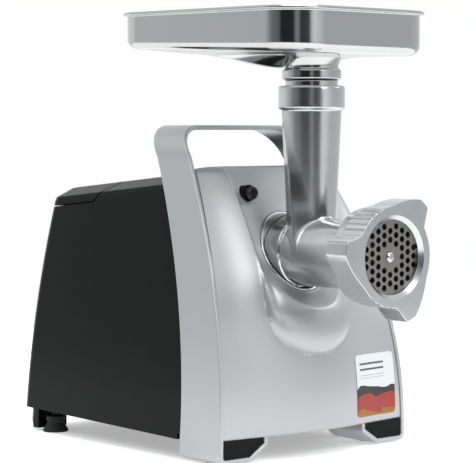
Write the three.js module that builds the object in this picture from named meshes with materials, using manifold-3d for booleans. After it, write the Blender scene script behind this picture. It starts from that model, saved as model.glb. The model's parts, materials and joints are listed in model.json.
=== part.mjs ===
// Electric meat grinder: a silver carry frame and fascia around a black housing, a geared motor inside,
// and a cast mincing head with a feed tray at the front.
// Millimetres, +Z up. The machine faces -Y and rests on z = 0; x = 0 is its middle plane.
import * as THREE from "three";
import { mergeVertices } from "three/addons/utils/BufferGeometryUtils.js";
import Module from "manifold-3d";

const wasm = await Module();
wasm.setup();

// ---------------------------------------------------------------- driving dimensions

const gap = 0.3; // left between pieces that touch
const runningGap = 0.6; // left between pieces that move past each other

// Carry frame: one band that runs from foot to foot over the top. y = 0 is its front edge at the floor.
const frameHalfWidth = 98.4; // at the floor
const frameHeight = 255;
const frameSideRadius = 900; // the legs bow inwards as they rise
const frameLean = 1.71e-3; // the front edge leans back by frameLean * (height above frameLeanStart) squared
const frameLeanStart = 25;
const frameBand = 48.5; // front to back at the floor
const frameBandTaper = 0.0385;
const frameThickness = 3.6;
const frameCornerRadius = 25;
const padThickness = 1.2; // rubber pad, from the floor to the underside of a foot with its gap
const rearFootX = 84;
const rearFootSet = 34.6; // in front of the housing's rear
const rearFootRadius = 10.6;
const rearStemRadius = 3;
const skidFloor = 2; // under the wedge behind each rear foot
const skidSole = 7; // flat front part of the wedge
const skidReach = [20, 10]; // inwards and outwards from the foot's middle
const footRun = 31.4; // flat sole, from the outer side inwards
const footReach = 48.3; // from the outer side to the foot's inner wall
const footChamferTop = 12.1;
const footTop = 19;
const footCornerRadius = 6;

// Rear housing and base
const housingInset = 2; // from the frame's outer side
const housingWall = 2.5;
const housingRear = 262.6; // at the floor
const housingRearLean = 0.0873;
const housingBottom = 14;
const housingTop = 217.7; // at y = 0, along the side edge
const housingTopFall = 0.096;
const crownRise = 8; // the top stands this much above its side edges
const crownRun = 18;
const housingCorner = 12;
const housingBottomRise = 0.02; // the underside climbs towards the rear
const basePlateThickness = 3;

// Lid over the accessory well
const lidSkirt = 6.6;
const lidWall = 2.2;
const lidSeamY = 186.5; // front seam where it meets the skirt
const lidSeamSlant = 0.96; // run for each millimetre of rise
const lidGap = 0.9;
const wellDepth = 36;
const wellWall = 2;

// Fascia
const fasciaWall = 2.6;
const fasciaBottom = 19;
const fasciaBulge = 7.6; // the middle stands this much in front of the frame's edge
const fasciaBow = 2.15e-3; // of the middle; the sides level out flushDepth behind the frame's edge
const flushDepth = 1.6;
const fasciaLift = 2.9; // the middle of its top stands this much above the crown
const fasciaDrop = 3.5; // from there to the sides
const fasciaShoulder = [50, 92]; // it drops between these distances from the middle
const handleRoot = 38; // its top meets the frame this far below the handle's top
const recessDepth = 5;
const recessHalfWidth = 36;
const recessEdge = 7;
const recessFade = 60; // above the dome's widest height, where the recess is full
const ridgeRise = 3.5; // shoulder on each side of the recess
const ridgeWidth = 20;
const ridgeSpan = [-27, 38]; // it grows between these heights, from the dome's widest
const domeRise = 11;
const domeHeight = 112;
const domeHalfWidth = 44;
const domeHalfHeight = 34;
const domeFade = 50; // it is gone this far above its widest height
const domeClearance = 13; // round the socket, where the dome gives way
const sleeveWall = 2.4; // round the socket, behind the fascia

// Auger line: the barrel, auger, blade, disc and ring share one axis along Y.
const augerHeight = 156.7;
const ringFront = -84;
const ringDepth = 30;
const ringRadius = 38;
const ringLipThickness = 4.5;
const ringMouth = 28; // radius of the opening in front of the disc
const lobeRadius = 50.8; // at the tips' corners
const lobeAngle = 51; // degrees, of the first of three
const lobeHalfAngle = 5.3;
const lobeSteep = 12.7; // degrees of the ribbed flank, and of the flank that a thumb pushes
const lobeGentle = 40;
const lobeHollow = 1.4; // power of the flanks' hollow curve
const lobeDepth = 21.6;
const discRadius = 31;
const discThickness = 5;
const discHole = 4.6;
const discPitch = 6.5;
const bladeThickness = 6.5;
const bladeReach = 27;
const bladeHub = 9;
const bladeArm = 4; // half its width
const cupRadius = 33.6; // threaded front of the head
const cupDepth = 22;
const barrelRadius = 26.5;
const boreRadius = 23.4;
const flangeFront = 27;
const flangeThickness = 4;
const flangeRadius = 28;
const rimLength = 13; // of the flange's rim, forwards along the barrel
const spigotRadius = 24;
const spigotLength = 22;
const augerRadius = 22.7;
const augerPitch = 30;
const augerCore = 8;
const couplingRadius = 15;
const hexSize = 8; // across the output shaft's corners, halved
const augerHex = 6; // the auger's own, halved the same way
const screwRadius = 2; // coupling screw

// Feed tube and tray
const feedY = 6.1;
const feedBottomRadius = 18.6;
const feedTopRadius = 23.2;
const feedWall = 2.4;
const collarBottom = 266.8;
const collarTop = 285;
const collarRadius = 25.7;
const neckRadius = 20.3;
const neckBottom = 271;
const trayWidth = 157.2;
const trayLength = 224.4;
const trayY = 53.1;
const trayRim = 343; // over the feed tube; trayTilt lifts it towards the rear
const trayTilt = 0.013;
const trayFloor = 308; // at the front of the tray; it climbs by floorRise for each millimetre back
const floorRise = 0.03;
const trayDrop = 8; // down the chute from the rear to the neck
const neckTop = 306;
const trayCorner = 36;
const traySheet = 1.2;
const dishHalf = [46, 56]; // half its width and length, part of the way to the chute
const chuteHalf = [27, 30];
const chuteSink = 1.6;
const beadRadius = 22.8; // of the neck's two swellings, where the waist between them is waistRadius
const waistRadius = 20.9;
const rimRoll = 3.4;

// Socket, release button and side switches
const socketRadius = 30.5;
const socketRear = 66;
const buttonX = -26.5;
const buttonHeight = 202;
const buttonRadius = 5.1;
const bezelRadius = 6.4;
const buttonProud = 9.5;
const buttonTravel = 2.5;
const switchY = 158;
const switchHeight = 112;
const switchSpacing = 26;
const switchRadius = 9.5;
const switchCollar = 2; // wider than the cap, through the wall
const switchRim = 4; // wider than the cap, outside the wall
const labelX = 64.5;
const labelLow = 24.5;
const labelHeight = 49;
const labelHalf = 23.5;
const labelSheet = 0.4;

const glandX = 58;
const glandHeight = 44;
const glandRadius = 7;
const cordRadius = 3.6;
const glandFlange = 2.5; // wider than the grommet
const cleatPlaces = { front: 96, rear: 206 };
const cleatPost = [22, 4]; // half of the part that stands on the base
const cleatBar = [34, 7]; // half of the bar that holds the lead

// Gear train: motor pinion -> first gear -> second gear -> output gear
const stageOne = { pinion: 10, gear: 58, module: 1, bearing: -162.7 };
const stageTwo = { pinion: 12, gear: 48, module: 1.5, bearing: -80.4 };
const stageThree = { pinion: 11, gear: 44, module: 2, bearing: -136.7 };
const gearboxFront = 72;
const gearboxWall = 4;
const gearWidths = [6, 8, 14]; // first, second and output gear
const gearSpace = 3;
const gearMargin = 4;

// Motor
const statorWidth = 76;
const statorHeight = 66;
const statorLength = 40;
const rotorRadius = 22;
const airGap = 0.8;
const shaftRadius = 4;
const outputRadius = 9;
const motorBearing = 9;
const bearingRadius = 14;
const boltRadius = 2;
const pinionSeat = 2.2;
const motorSpace = 22; // gearbox to stator
const commutatorRadius = 12;
const fanRadius = 26;

// ---------------------------------------------------------------- shapes

const turn = 2 * Math.PI;
const radians = THREE.MathUtils.degToRad;
const smooth = THREE.MathUtils.smoothstep;

// A closed three.js geometry as a manifold-3d solid, turned face out if its profile ran the other way.
function solid(geometry) {
  const flat = geometry.index ? geometry.toNonIndexed() : geometry;
  const bare = new THREE.BufferGeometry().setAttribute("position", flat.getAttribute("position"));
  const merged = mergeVertices(bare, 1e-4);
  const index = merged.index.array;
  const faces = [];
  for (let i = 0; i < index.length; i += 3) {
    const [a, b, c] = [index[i], index[i + 1], index[i + 2]];
    if (a !== b && b !== c && c !== a) faces.push([a, b, c]);
  }
  const make = (list) =>
    new wasm.Manifold(
      new wasm.Mesh({
        numProp: 3,
        vertProperties: merged.attributes.position.array,
        triVerts: new Uint32Array(list.flat()),
      }),
    );
  const made = make(faces);
  return made.volume() < 0 ? make(faces.map(([a, b, c]) => [a, c, b])) : made;
}

const moved = (shape, x, y, z) => shape.translate([x, y, z]);
const joined = (...shapes) => shapes.reduce((all, one) => all.add(one));
const cut = (shape, ...tools) => tools.reduce((left, tool) => left.subtract(tool), shape);

function box(x0, x1, y0, y1, z0, z1) {
  const block = new THREE.BoxGeometry(x1 - x0, y1 - y0, z1 - z0);
  return solid(block.translate((x0 + x1) / 2, (y0 + y1) / 2, (z0 + z1) / 2));
}

// Round bars along each axis, through the point given by the other two coordinates
function rodY(radius, y0, y1, x = 0, z = 0, sides = 24, frontRadius = radius) {
  const bar = new THREE.CylinderGeometry(radius, frontRadius, y1 - y0, sides);
  return solid(bar.translate(x, (y0 + y1) / 2, z));
}

function rodZ(radius, z0, z1, x = 0, y = 0, sides = 24, lowRadius = radius) {
  const bar = new THREE.CylinderGeometry(radius, lowRadius, z1 - z0, sides).rotateX(Math.PI / 2);
  return solid(bar.translate(x, y, (z0 + z1) / 2));
}

function rodX(radius, x0, x1, y = 0, z = 0, sides = 20) {
  const bar = new THREE.CylinderGeometry(radius, radius, x1 - x0, sides).rotateZ(Math.PI / 2);
  return solid(bar.translate((x0 + x1) / 2, y, z));
}

// An outline of [x, z] points drawn out along Y, and one of [y, z] points along X
function prismY(outline, y0, y1) {
  const shape = new THREE.Shape(outline.map(([x, z]) => new THREE.Vector2(x, z)));
  const drawn = new THREE.ExtrudeGeometry(shape, { depth: y1 - y0, bevelEnabled: false });
  return solid(drawn.rotateX(Math.PI / 2).translate(0, y1, 0));
}

function prismX(outline, x0, x1) {
  const shape = new THREE.Shape(outline.map(([y, z]) => new THREE.Vector2(y, z)));
  const drawn = new THREE.ExtrudeGeometry(shape, { depth: x1 - x0, bevelEnabled: false });
  const sideways = new THREE.Matrix4().makeBasis(
    new THREE.Vector3(0, 1, 0),
    new THREE.Vector3(0, 0, 1),
    new THREE.Vector3(1, 0, 0),
  );
  return solid(drawn.applyMatrix4(sideways).translate(x0, 0, 0));
}

// A profile of [radius, y] points turned about Y, and one of [radius, z] points about Z
function turnedY(profile, sides = 32) {
  return solid(new THREE.LatheGeometry(profile.map(([r, y]) => new THREE.Vector2(r, y)), sides));
}

function turnedZ(profile, sides = 32) {
  const lathe = new THREE.LatheGeometry(profile.map(([r, z]) => new THREE.Vector2(r, z)), sides);
  return solid(lathe.rotateX(Math.PI / 2));
}

// A skin through rings of points; it closes on itself, or each end is covered by a fan.
function loft(rings, closed = false) {
  const count = rings[0].length;
  const faces = [];
  const last = closed ? rings.length : rings.length - 1;
  for (let i = 0; i < last; i++) {
    const next = (i + 1) % rings.length;
    for (let j = 0; j < count; j++) {
      const k = (j + 1) % count;
      faces.push(i * count + j, next * count + j, next * count + k);
      faces.push(i * count + j, next * count + k, i * count + k);
    }
  }
  if (!closed) {
    const end = (rings.length - 1) * count;
    for (let j = 1; j < count - 1; j++) {
      faces.push(0, j, j + 1);
      faces.push(end, end + j + 1, end + j);
    }
  }
  const skin = new THREE.BufferGeometry();
  skin.setAttribute("position", new THREE.Float32BufferAttribute(rings.flat(2), 3));
  skin.setIndex(faces);
  return solid(skin);
}

// Points [x, y] round a rectangle with round corners; with halfX = halfY = corner it is a circle.
function roundedRing(halfX, halfY, corner, perCorner) {
  const points = [];
  for (let quarter = 0; quarter < 4; quarter++) {
    const sx = quarter === 0 || quarter === 3 ? 1 : -1;
    const sy = quarter < 2 ? 1 : -1;
    for (let i = 0; i < perCorner; i++) {
      const angle = ((quarter + (i + 0.5) / perCorner) * Math.PI) / 2;
      const x = sx * (halfX - corner) + corner * Math.cos(angle);
      const y = sy * (halfY - corner) + corner * Math.sin(angle);
      points.push([x, y]);
    }
  }
  return points;
}

// A sheet between two surfaces y = front(x, z) and y = back(x, z); place(u, v) gives [x, z] for u, v in 0..1.
function sheet(across, up, place, front, back) {
  const rows = [];
  for (const [surface, flip] of [[front, false], [back, true]]) {
    for (let j = 0; j <= up; j++) {
      for (let i = 0; i <= across; i++) {
        const [x, z] = place((flip ? across - i : i) / across, j / up);
        rows.push([x, surface(x, z), z]);
      }
    }
  }
  // Each height of the sheet is a ring: along the front, and back along the rear.
  const perRow = across + 1;
  const rings = [];
  for (let j = 0; j <= up; j++) {
    const frontRow = rows.slice(j * perRow, (j + 1) * perRow);
    const backRow = rows.slice((up + 1 + j) * perRow, (up + 2 + j) * perRow);
    rings.push([...frontRow, ...backRow]);
  }
  const count = rings[0].length;
  const faces = [];
  for (let j = 0; j < up; j++) {
    for (let i = 0; i < count; i++) {
      const k = (i + 1) % count;
      const [a, b] = [j * count, (j + 1) * count];
      faces.push(a + i, a + k, b + k, a + i, b + k, b + i);
    }
  }
  for (const [row, upper] of [[0, false], [up * count, true]]) {
    for (let i = 0; i < across; i++) {
      const [p, q, r, s] = [row + i, row + i + 1, row + count - 2 - i, row + count - 1 - i];
      faces.push(...(upper ? [p, q, r, p, r, s] : [p, r, q, p, s, r]));
    }
  }
  const skin = new THREE.BufferGeometry();
  skin.setAttribute("position", new THREE.Float32BufferAttribute(rings.flat(2), 3));
  skin.setIndex(faces);
  return solid(skin);
}

// ---------------------------------------------------------------- finishes

const finish = (color, roughness, metalness) =>
  new THREE.MeshStandardMaterial({ color, roughness, metalness });
const finishes = {
  silver: () => finish(0xb2b4b5, 0.38, 0.55),
  black: () => finish(0x292b2e, 0.55, 0),
  darkGrey: () => finish(0x3a3c40, 0.6, 0),
  aluminium: () => finish(0xb9bcbf, 0.28, 1),
  steel: () => finish(0xa9adb0, 0.2, 1),
  discSteel: () => finish(0x8c8784, 0.35, 1),
  rubber: () => finish(0x1b1b1d, 0.85, 0),
  nylon: () => finish(0xd8d4c6, 0.5, 0),
  copper: () => finish(0xa8552d, 0.35, 1),
  lamination: () => finish(0x6d7076, 0.5, 0.9),
  board: () => finish(0x2f5d3a, 0.6, 0),
  paper: () => finish(0xf0efeb, 0.6, 0),
};

const grinder = new THREE.Group();
const augerLine = new THREE.Group();
augerLine.position.z = augerHeight;
grinder.add(augerLine);

function add(parent, name, shape, material) {
  const { vertProperties, triVerts } = shape.getMesh();
  const geometry = new THREE.BufferGeometry();
  geometry.setAttribute("position", new THREE.BufferAttribute(new Float32Array(vertProperties), 3));
  geometry.setIndex(new THREE.BufferAttribute(new Uint32Array(triVerts), 1));
  geometry.computeVertexNormals();
  const mesh = new THREE.Mesh(geometry, material());
  mesh.name = name;
  parent.add(mesh);
  return mesh;
}

// ---------------------------------------------------------------- outer form

const sideAt = (z) => frameHalfWidth - frameSideRadius + Math.sqrt(frameSideRadius ** 2 - z ** 2);
const leanAt = (z) => frameLean * Math.max(z - frameLeanStart, 0) ** 2;
const bandAt = (z) => frameBand - frameBandTaper * z;
const rearAt = (z) => housingRear - housingRearLean * z;
const topAt = (y) => housingTop - housingTopFall * y;
const lowAt = (y) => housingBottom + housingBottomRise * Math.max(y, 0);
const crownAt = (x, y) => topAt(y) + crownRise * smooth(sideAt(topAt(y)) - Math.abs(x), 0, crownRun);

// The frame's outer contour as [x, z] points, from the inner wall of the right foot to the top middle
function frameContour(inset) {
  const floor = padThickness;
  const points = [];
  const inner = sideAt(0) - footReach + inset;
  const slopeAngle = Math.atan2(footChamferTop - floor, footReach - footRun);
  const slopeShift = inset * Math.tan(slopeAngle / 2);
  points.push([inner, footTop]);
  points.push([inner, footChamferTop + inset * Math.tan((Math.PI / 2 - slopeAngle) / 2)]);
  points.push([sideAt(0) - footRun + slopeShift, floor + inset]);
  const corner = Math.max(footCornerRadius - inset, 0.5);
  for (let i = 0; i <= 4; i++) {
    const angle = -Math.PI / 2 + (i * Math.PI) / 8;
    const x = sideAt(0) - footCornerRadius + corner * Math.cos(angle);
    points.push([x, floor + footCornerRadius + corner * Math.sin(angle)]);
  }
  const shoulder = frameHeight - frameCornerRadius;
  const legSteps = 9;
  for (let i = 1; i <= legSteps; i++) {
    const z = floor + footCornerRadius + ((shoulder - floor - footCornerRadius) * i) / legSteps;
    points.push([sideAt(z) - inset, z]);
  }
  const centre = sideAt(shoulder) - frameCornerRadius;
  const round = frameCornerRadius - inset;
  for (let i = 1; i <= 6; i++) {
    const angle = (i * Math.PI) / 12;
    points.push([centre + round * Math.cos(angle), shoulder + round * Math.sin(angle)]);
  }
  return points;
}

// The band from foot to foot, or the room it needs when it is grown on every side
function frameBandSolid(grow) {
  const outer = frameContour(-grow);
  const inner = frameContour(frameThickness + grow);
  const half = outer.map(([x, z], i) => {
    const [ix, iz] = inner[i];
    const front = leanAt(z) - grow;
    const rear = leanAt(z) + bandAt(z) + grow;
    return [
      [x, front, z],
      [x, rear, z],
      [ix, rear, iz],
      [ix, front, iz],
    ];
  });
  const mirrored = half.map((ring) => ring.map(([x, y, z]) => [-x, y, z])).reverse();
  return loft([...half, ...mirrored]);
}

// The body's outer form, moved inwards by inset: rings of plan sections from the base to the crown
function bodyForm(inset, bottomDrop = 0) {
  const levels = 4;
  const rings = [];
  const lowRear = lowAt(housingRear);
  const makeRing = (share, rise, narrower) => {
    const front = -12;
    const rear = rearAt(lowRear + share * (topAt(housingRear - 16) - lowRear)) - inset;
    const half = [100, (rear - front) / 2];
    const centre = (rear + front) / 2;
    const ring = roundedRing(half[0], half[1], housingCorner, 4);
    return ring.map(([u, v]) => {
      const y = centre + v;
      const low = lowAt(y) - bottomDrop;
      const edge = low + share * (topAt(y) - inset - low);
      const side = sideAt(edge) - housingInset - inset - narrower;
      return [(u / half[0]) * side, y, edge + rise];
    });
  };
  for (let i = 0; i <= levels; i++) rings.push(makeRing(i / levels, 0, 0));
  rings.push(makeRing(1, crownRise, crownRun));
  return loft(rings);
}

// ---------------------------------------------------------------- fascia

function fasciaFace(x, z) {
  const level = fasciaBulge + flushDepth;
  const bowed = leanAt(z) + level * Math.tanh((fasciaBow * x ** 2) / level) - fasciaBulge;
  const outside = smooth(Math.abs(x), recessHalfWidth, recessHalfWidth + recessEdge);
  const fromEdge = Math.max(Math.abs(x) - recessHalfWidth - recessEdge, 0) / ridgeWidth;
  const risen = smooth(z, domeHeight + ridgeSpan[0], domeHeight + ridgeSpan[1]);
  const ridge = ridgeRise * outside * risen * Math.exp(-(fromEdge ** 2));
  const recess = recessDepth * (1 - outside) * smooth(z, domeHeight, domeHeight + recessFade);
  const spread = (x / domeHalfWidth) ** 2 + (Math.min(z - domeHeight, 0) / domeHalfHeight) ** 2;
  const clearOfSocket = smooth(Math.hypot(x, z - augerHeight), socketRadius, socketRadius + domeClearance);
  const fade = clearOfSocket * (1 - smooth(z, domeHeight, domeHeight + domeFade));
  const dome = domeRise * fade * Math.sqrt(Math.max(1 - spread, 0));
  return bowed + recess - ridge - dome;
}

const fasciaTop = (x) =>
  crownAt(0, leanAt(frameHeight - handleRoot)) +
  fasciaLift -
  fasciaDrop * smooth(Math.abs(x), fasciaShoulder[0], fasciaShoulder[1]);

function fasciaPlace(u, v) {
  const reach = sideAt(fasciaBottom) - frameThickness - gap;
  const t = 2 * u - 1;
  const z = fasciaBottom + v * (fasciaTop(t * reach * 0.75) - fasciaBottom);
  return [t * (sideAt(z) - frameThickness - gap), z];
}
const fasciaAcross = 16;
const fasciaUp = 16;
const fasciaSheet = (front, back) => sheet(fasciaAcross, fasciaUp, fasciaPlace, front, back);

const fasciaSkin = fasciaSheet(fasciaFace, (x, z) => fasciaFace(x, z) + fasciaWall);
const beforeFascia = fasciaSheet(() => -120, fasciaFace);
const roomForFascia = sheet(
  fasciaAcross,
  fasciaUp,
  (u, v) => {
    const [x, z] = fasciaPlace(u, v);
    return [x * 1.04, v > 0.5 ? z + 30 * (v - 0.5) : z - 30 * (0.5 - v)];
  },
  () => -120,
  (x, z) => fasciaFace(x, z) + fasciaWall + 3 * gap,
);
const sleeve = rodY(socketRadius + gap + sleeveWall, -20, socketRear - 20, 0, augerHeight, 28);
const socketHole = rodY(socketRadius + gap, -100, socketRear, 0, augerHeight, 28);
const buttonBase = fasciaFace(buttonX, buttonHeight);
const bezelBack = buttonBase - 1.8;
const buttonHole = joined(
  rodY(bezelRadius - 0.8 + gap, 0, 90, buttonX, buttonHeight, 20),
  rodY(bezelRadius + gap, 0, bezelBack + gap, buttonX, buttonHeight, 20),
);
const frontFascia = cut(joined(fasciaSkin, cut(sleeve, beforeFascia)), socketHole, buttonHole);
add(grinder, "front_fascia", frontFascia, finishes.silver);

// ---------------------------------------------------------------- carry frame and feet

add(grinder, "carry_frame", frameBandSolid(0), finishes.silver);

// Black plug that fills a foot, and the rubber pad under its sole
for (const [side, sign] of [["left", -1], ["right", 1]]) {
  const fit = frameThickness + gap;
  const outline = frameContour(fit).slice(0, 8);
  const top = footTop - gap;
  outline[0][1] = top;
  const outerEdge = sideAt(0) - fit;
  outline.push([outerEdge - 0.3, top]);
  const placed = outline.map(([x, z]) => [sign * x, z]);
  const plug = prismY(placed, 1.5, frameBand - 1.5);
  add(grinder, `foot_insert_${side}`, plug, finishes.black);
  const padX = sign * (frameHalfWidth - footRun / 2 - 2);
  const pad = rodZ(9, 0, padThickness - gap, padX, frameBand / 2, 24);
  add(grinder, `front_pad_${side}`, pad, finishes.rubber);
  const rearFoot = turnedZ(
    [
      [0, 0],
      [rearFootRadius, 0],
      [rearFootRadius - 0.4, 1.6],
      [6.6, 8],
      [7.6, 9.5],
      [7.6, 13],
      [rearStemRadius, 13],
      [rearStemRadius, housingBottom + 9],
      [0, housingBottom + 9],
    ],
    24,
  );
  const footY = housingRear - rearFootSet;
  add(grinder, `rear_foot_${side}`, moved(rearFoot, sign * rearFootX, footY, 0), finishes.rubber);
}

// ---------------------------------------------------------------- housing, lid, well and base

const outerForm = bodyForm(0);
const innerForm = bodyForm(housingWall, 30);
const roomForFrame = frameBandSolid(gap);

// The lid takes the rear of the top, down to its skirt, behind a front seam that slants back as it falls.
function lidRegion(grow) {
  const low = topAt(lidSeamY) - lidSkirt - grow;
  const far = housingRear + 20;
  const high = frameHeight;
  return prismX(
    [
      [lidSeamY - grow, low],
      [far, topAt(far) - lidSkirt - grow],
      [far, high],
      [lidSeamY - grow - (high - low) * lidSeamSlant, high],
    ],
    -120,
    120,
  );
}
const lidShell = cut(outerForm, bodyForm(lidWall, 30)).intersect(lidRegion(0));
add(grinder, "accessory_lid", lidShell, finishes.black);

const footRoom = box(-120, 120, -20, frameBand + gap + 4, -10, footTop + gap);
const switchHoles = [-1, 1].map((side) => {
  const y = switchY + (side * switchSpacing) / 2;
  return rodX(switchRadius + switchCollar + gap, 60, 120, y, switchHeight, 24);
});
const glandHole = rodY(glandRadius + gap, housingRear - 60, housingRear + 40, glandX, glandHeight, 20);
const rearHousing = cut(
  outerForm,
  innerForm,
  lidRegion(lidGap),
  roomForFrame,
  roomForFascia,
  footRoom,
  ...switchHoles,
  glandHole,
);
add(grinder, "rear_housing", rearHousing, finishes.black);

const wellTop = topAt(housingRear) - lidSkirt - 3;
const wellBottom = wellTop - wellDepth;
const wellFront = lidSeamY + 2;
const wellRear = rearAt(wellTop) - housingWall - gap - 2.5;
const wellHalf = sideAt(wellTop) - housingInset - housingWall - gap - 4;
const well = joined(
  box(-wellHalf, wellHalf, wellFront, wellRear, wellBottom, wellTop),
  box(-wellHalf - 3, wellHalf + 3, wellFront - 2, wellRear + 1.5, wellTop - wellWall, wellTop),
);
const wellRoom = box(
  -wellHalf + wellWall,
  wellHalf - wellWall,
  wellFront + wellWall,
  wellRear - wellWall,
  wellBottom + wellWall,
  wellTop + 5,
);
const insideHousing = bodyForm(housingWall + gap, 30);
add(grinder, "storage_well", cut(well.intersect(insideHousing), wellRoom), finishes.darkGrey);

// Base plate: closes the housing from below, with rows of air slots and the rear feet's holes
const plateLow = housingBottom + 6;
const plateHalf = sideAt(plateLow) - housingInset - housingWall - gap;
const plateRear = rearAt(plateLow) - housingWall - gap;
let plate = box(-plateHalf, plateHalf, frameBand + 6, plateRear, plateLow, plateLow + basePlateThickness);
plate = plate.add(
  box(
    -sideAt(0) + footReach + gap + frameThickness,
    sideAt(0) - footReach - gap - frameThickness,
    16,
    frameBand + 8,
    plateLow,
    plateLow + basePlateThickness,
  ),
);
for (let i = -4; i <= 4; i++) {
  plate = cut(plate, box(i * 9 - 2, i * 9 + 2, 120, 170, plateLow - 5, plateLow + 9));
}
for (const sign of [-1, 1]) {
  const skidFront = housingRear - rearFootSet + 12;
  const skid = prismX(
    [
      [skidFront, plateLow + 1],
      [skidFront, skidFloor],
      [skidFront + skidSole, skidFloor],
      [housingRear - 3, plateLow - 1],
      [housingRear - 3, plateLow + 1],
    ],
    rearFootX - skidReach[0],
    rearFootX + skidReach[1],
  );
  plate = plate.add(sign > 0 ? skid : skid.mirror([1, 0, 0]));
  plate = cut(
    plate,
    rodZ(rearStemRadius + gap, plateLow - 5, plateLow + 9, sign * rearFootX, housingRear - rearFootSet, 16),
  );
}
add(grinder, "base_plate", plate.intersect(insideHousing), finishes.black);

// Cleats under the base that the lead winds round
for (const [name, y] of Object.entries(cleatPlaces)) {
  const post = [-cleatPost[0], cleatPost[0], y - cleatPost[1], y + cleatPost[1]];
  const bar = [-cleatBar[0], cleatBar[0], y - cleatBar[1], y + cleatBar[1]];
  const cleat = joined(
    box(...post, plateLow - 9, plateLow - gap),
    box(...bar, plateLow - 12, plateLow - 9),
  );
  add(grinder, `cord_cleat_${name}`, cleat, finishes.black);
}

// Grommet where the lead goes in, a little proud of the rear wall
const glandSeat = rearAt(glandHeight - glandRadius - glandFlange) + gap;
const gland = cut(
  joined(
    rodY(glandRadius, glandSeat - 9, glandSeat + 1.5, glandX, glandHeight, 20),
    rodY(glandRadius + glandFlange, glandSeat, glandSeat + 1.5, glandX, glandHeight, 24),
  ),
  rodY(cordRadius, glandSeat - 20, glandSeat + 5, glandX, glandHeight, 16),
);
add(grinder, "cord_gland", gland, finishes.rubber);

// ---------------------------------------------------------------- label, button and switches

const labelPlace = (u, v) => [labelX + (2 * u - 1) * labelHalf, labelLow + v * labelHeight];
const label = sheet(
  6,
  4,
  labelPlace,
  (x, z) => fasciaFace(x, z) - gap - labelSheet,
  (x, z) => fasciaFace(x, z) - gap,
);
add(grinder, "label_plate", label, finishes.paper);

const bezel = cut(
  joined(
    rodY(bezelRadius, bezelBack - 2.5, bezelBack, buttonX, buttonHeight, 24),
    rodY(bezelRadius - 0.8, bezelBack - 1, buttonBase + 7, buttonX, buttonHeight, 24),
  ),
  rodY(buttonRadius + gap, buttonBase - 20, buttonBase + 20, buttonX, buttonHeight, 24),
);
add(grinder, "button_bezel", bezel, finishes.black);
const stemEnd = buttonBase + 11;
const button = joined(
  rodY(buttonRadius, buttonBase - buttonProud, buttonBase + 5, buttonX, buttonHeight, 24),
  rodY(2.4, buttonBase + 5, stemEnd, buttonX, buttonHeight, 16),
);
add(grinder, "release_button", button, finishes.black);
const latchReach = socketRadius + 11;
const latchFront = stemEnd + gap;
const latchRear = latchFront + 1.6;
const latchWidth = 6;
const latchTop = buttonHeight + 5;
const latchOuter = -latchReach - latchWidth;
const latch = joined(
  box(latchOuter, buttonX + latchWidth, latchFront, latchRear, buttonHeight - 4, latchTop),
  box(latchOuter, -latchReach, latchFront, latchRear, augerHeight - 8, latchTop),
);
add(grinder, "latch_arm", latch, finishes.steel);

class Helix extends THREE.Curve {
  constructor(radius, length, turns) {
    super();
    Object.assign(this, { radius, length, turns });
  }
  getPoint(t) {
    const angle = t * this.turns * turn;
    const [x, z] = [this.radius * Math.cos(angle), this.radius * Math.sin(angle)];
    return new THREE.Vector3(x, t * this.length, z);
  }
}
function spring(radius, wire, length, turns) {
  const section = new THREE.Shape(
    roundedRing(wire, wire, wire, 1).map(([x, y]) => new THREE.Vector2(x, y)),
  );
  const path = new Helix(radius, length, turns);
  return solid(
    new THREE.ExtrudeGeometry(section, { steps: turns * 7, extrudePath: path, bevelEnabled: false }),
  );
}
const springStart = stemEnd + 2 * gap + 2.2;
const springLength = gearboxFront - springStart - buttonTravel - 3 * gap;
const coil = moved(spring(3.6, 0.45, springLength, 2), buttonX, springStart, buttonHeight);
add(grinder, "release_spring", coil, finishes.steel);

const switchFace = sideAt(switchHeight) - housingInset;
const switchSeat = sideAt(switchHeight - switchRadius - switchRim) - housingInset + gap;
const switchEnds = [switchY - switchSpacing / 2, switchY + switchSpacing / 2];
const rimRadius = switchRadius + switchRim;
const switchRimPlate = joined(
  ...switchEnds.map((y) => rodX(rimRadius, switchSeat, switchSeat + 1.4, y, switchHeight, 28)),
  box(
    switchSeat,
    switchSeat + 1.4,
    switchEnds[0],
    switchEnds[1],
    switchHeight - rimRadius,
    switchHeight + rimRadius,
  ),
);
let switchPlate = joined(
  switchRimPlate,
  ...switchEnds.map((y) =>
    rodX(switchRadius + switchCollar, switchFace - 8, switchSeat + 1, y, switchHeight, 24),
  ),
);
for (const y of switchEnds) {
  switchPlate = cut(switchPlate, rodX(switchRadius + gap, 60, 120, y, switchHeight, 24));
}
add(grinder, "switch_bezel", switchPlate, finishes.darkGrey);
for (const [name, side] of [["power_button", -1], ["reverse_button", 1]]) {
  const y = switchY + (side * switchSpacing) / 2;
  const cap = joined(
    rodX(switchRadius, switchFace - 6, switchSeat + 3.4, y, switchHeight, 24),
    rodX(2.5, switchFace - 10, switchFace - 6, y, switchHeight, 12),
  );
  add(grinder, name, cap, finishes.darkGrey);
}

const boardX = switchFace - 22;
const board = box(boardX, boardX + 1.6, switchY - 32, switchY + 32, switchHeight - 30, switchHeight + 24);
add(grinder, "circuit_board", board, finishes.board);
for (const [name, side] of [["power_switch", -1], ["reverse_switch", 1]]) {
  const y = switchY + (side * switchSpacing) / 2;
  const body = box(boardX + 1.6 + gap, switchFace - 15, y - 6, y + 6, switchHeight - 6, switchHeight + 6);
  add(grinder, name, body, finishes.darkGrey);
}
const canister = rodX(6.5, boardX - 24, boardX - gap, switchY, switchHeight - 20, 20);
add(grinder, "capacitor", canister, finishes.darkGrey);

// ---------------------------------------------------------------- mincing head

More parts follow.
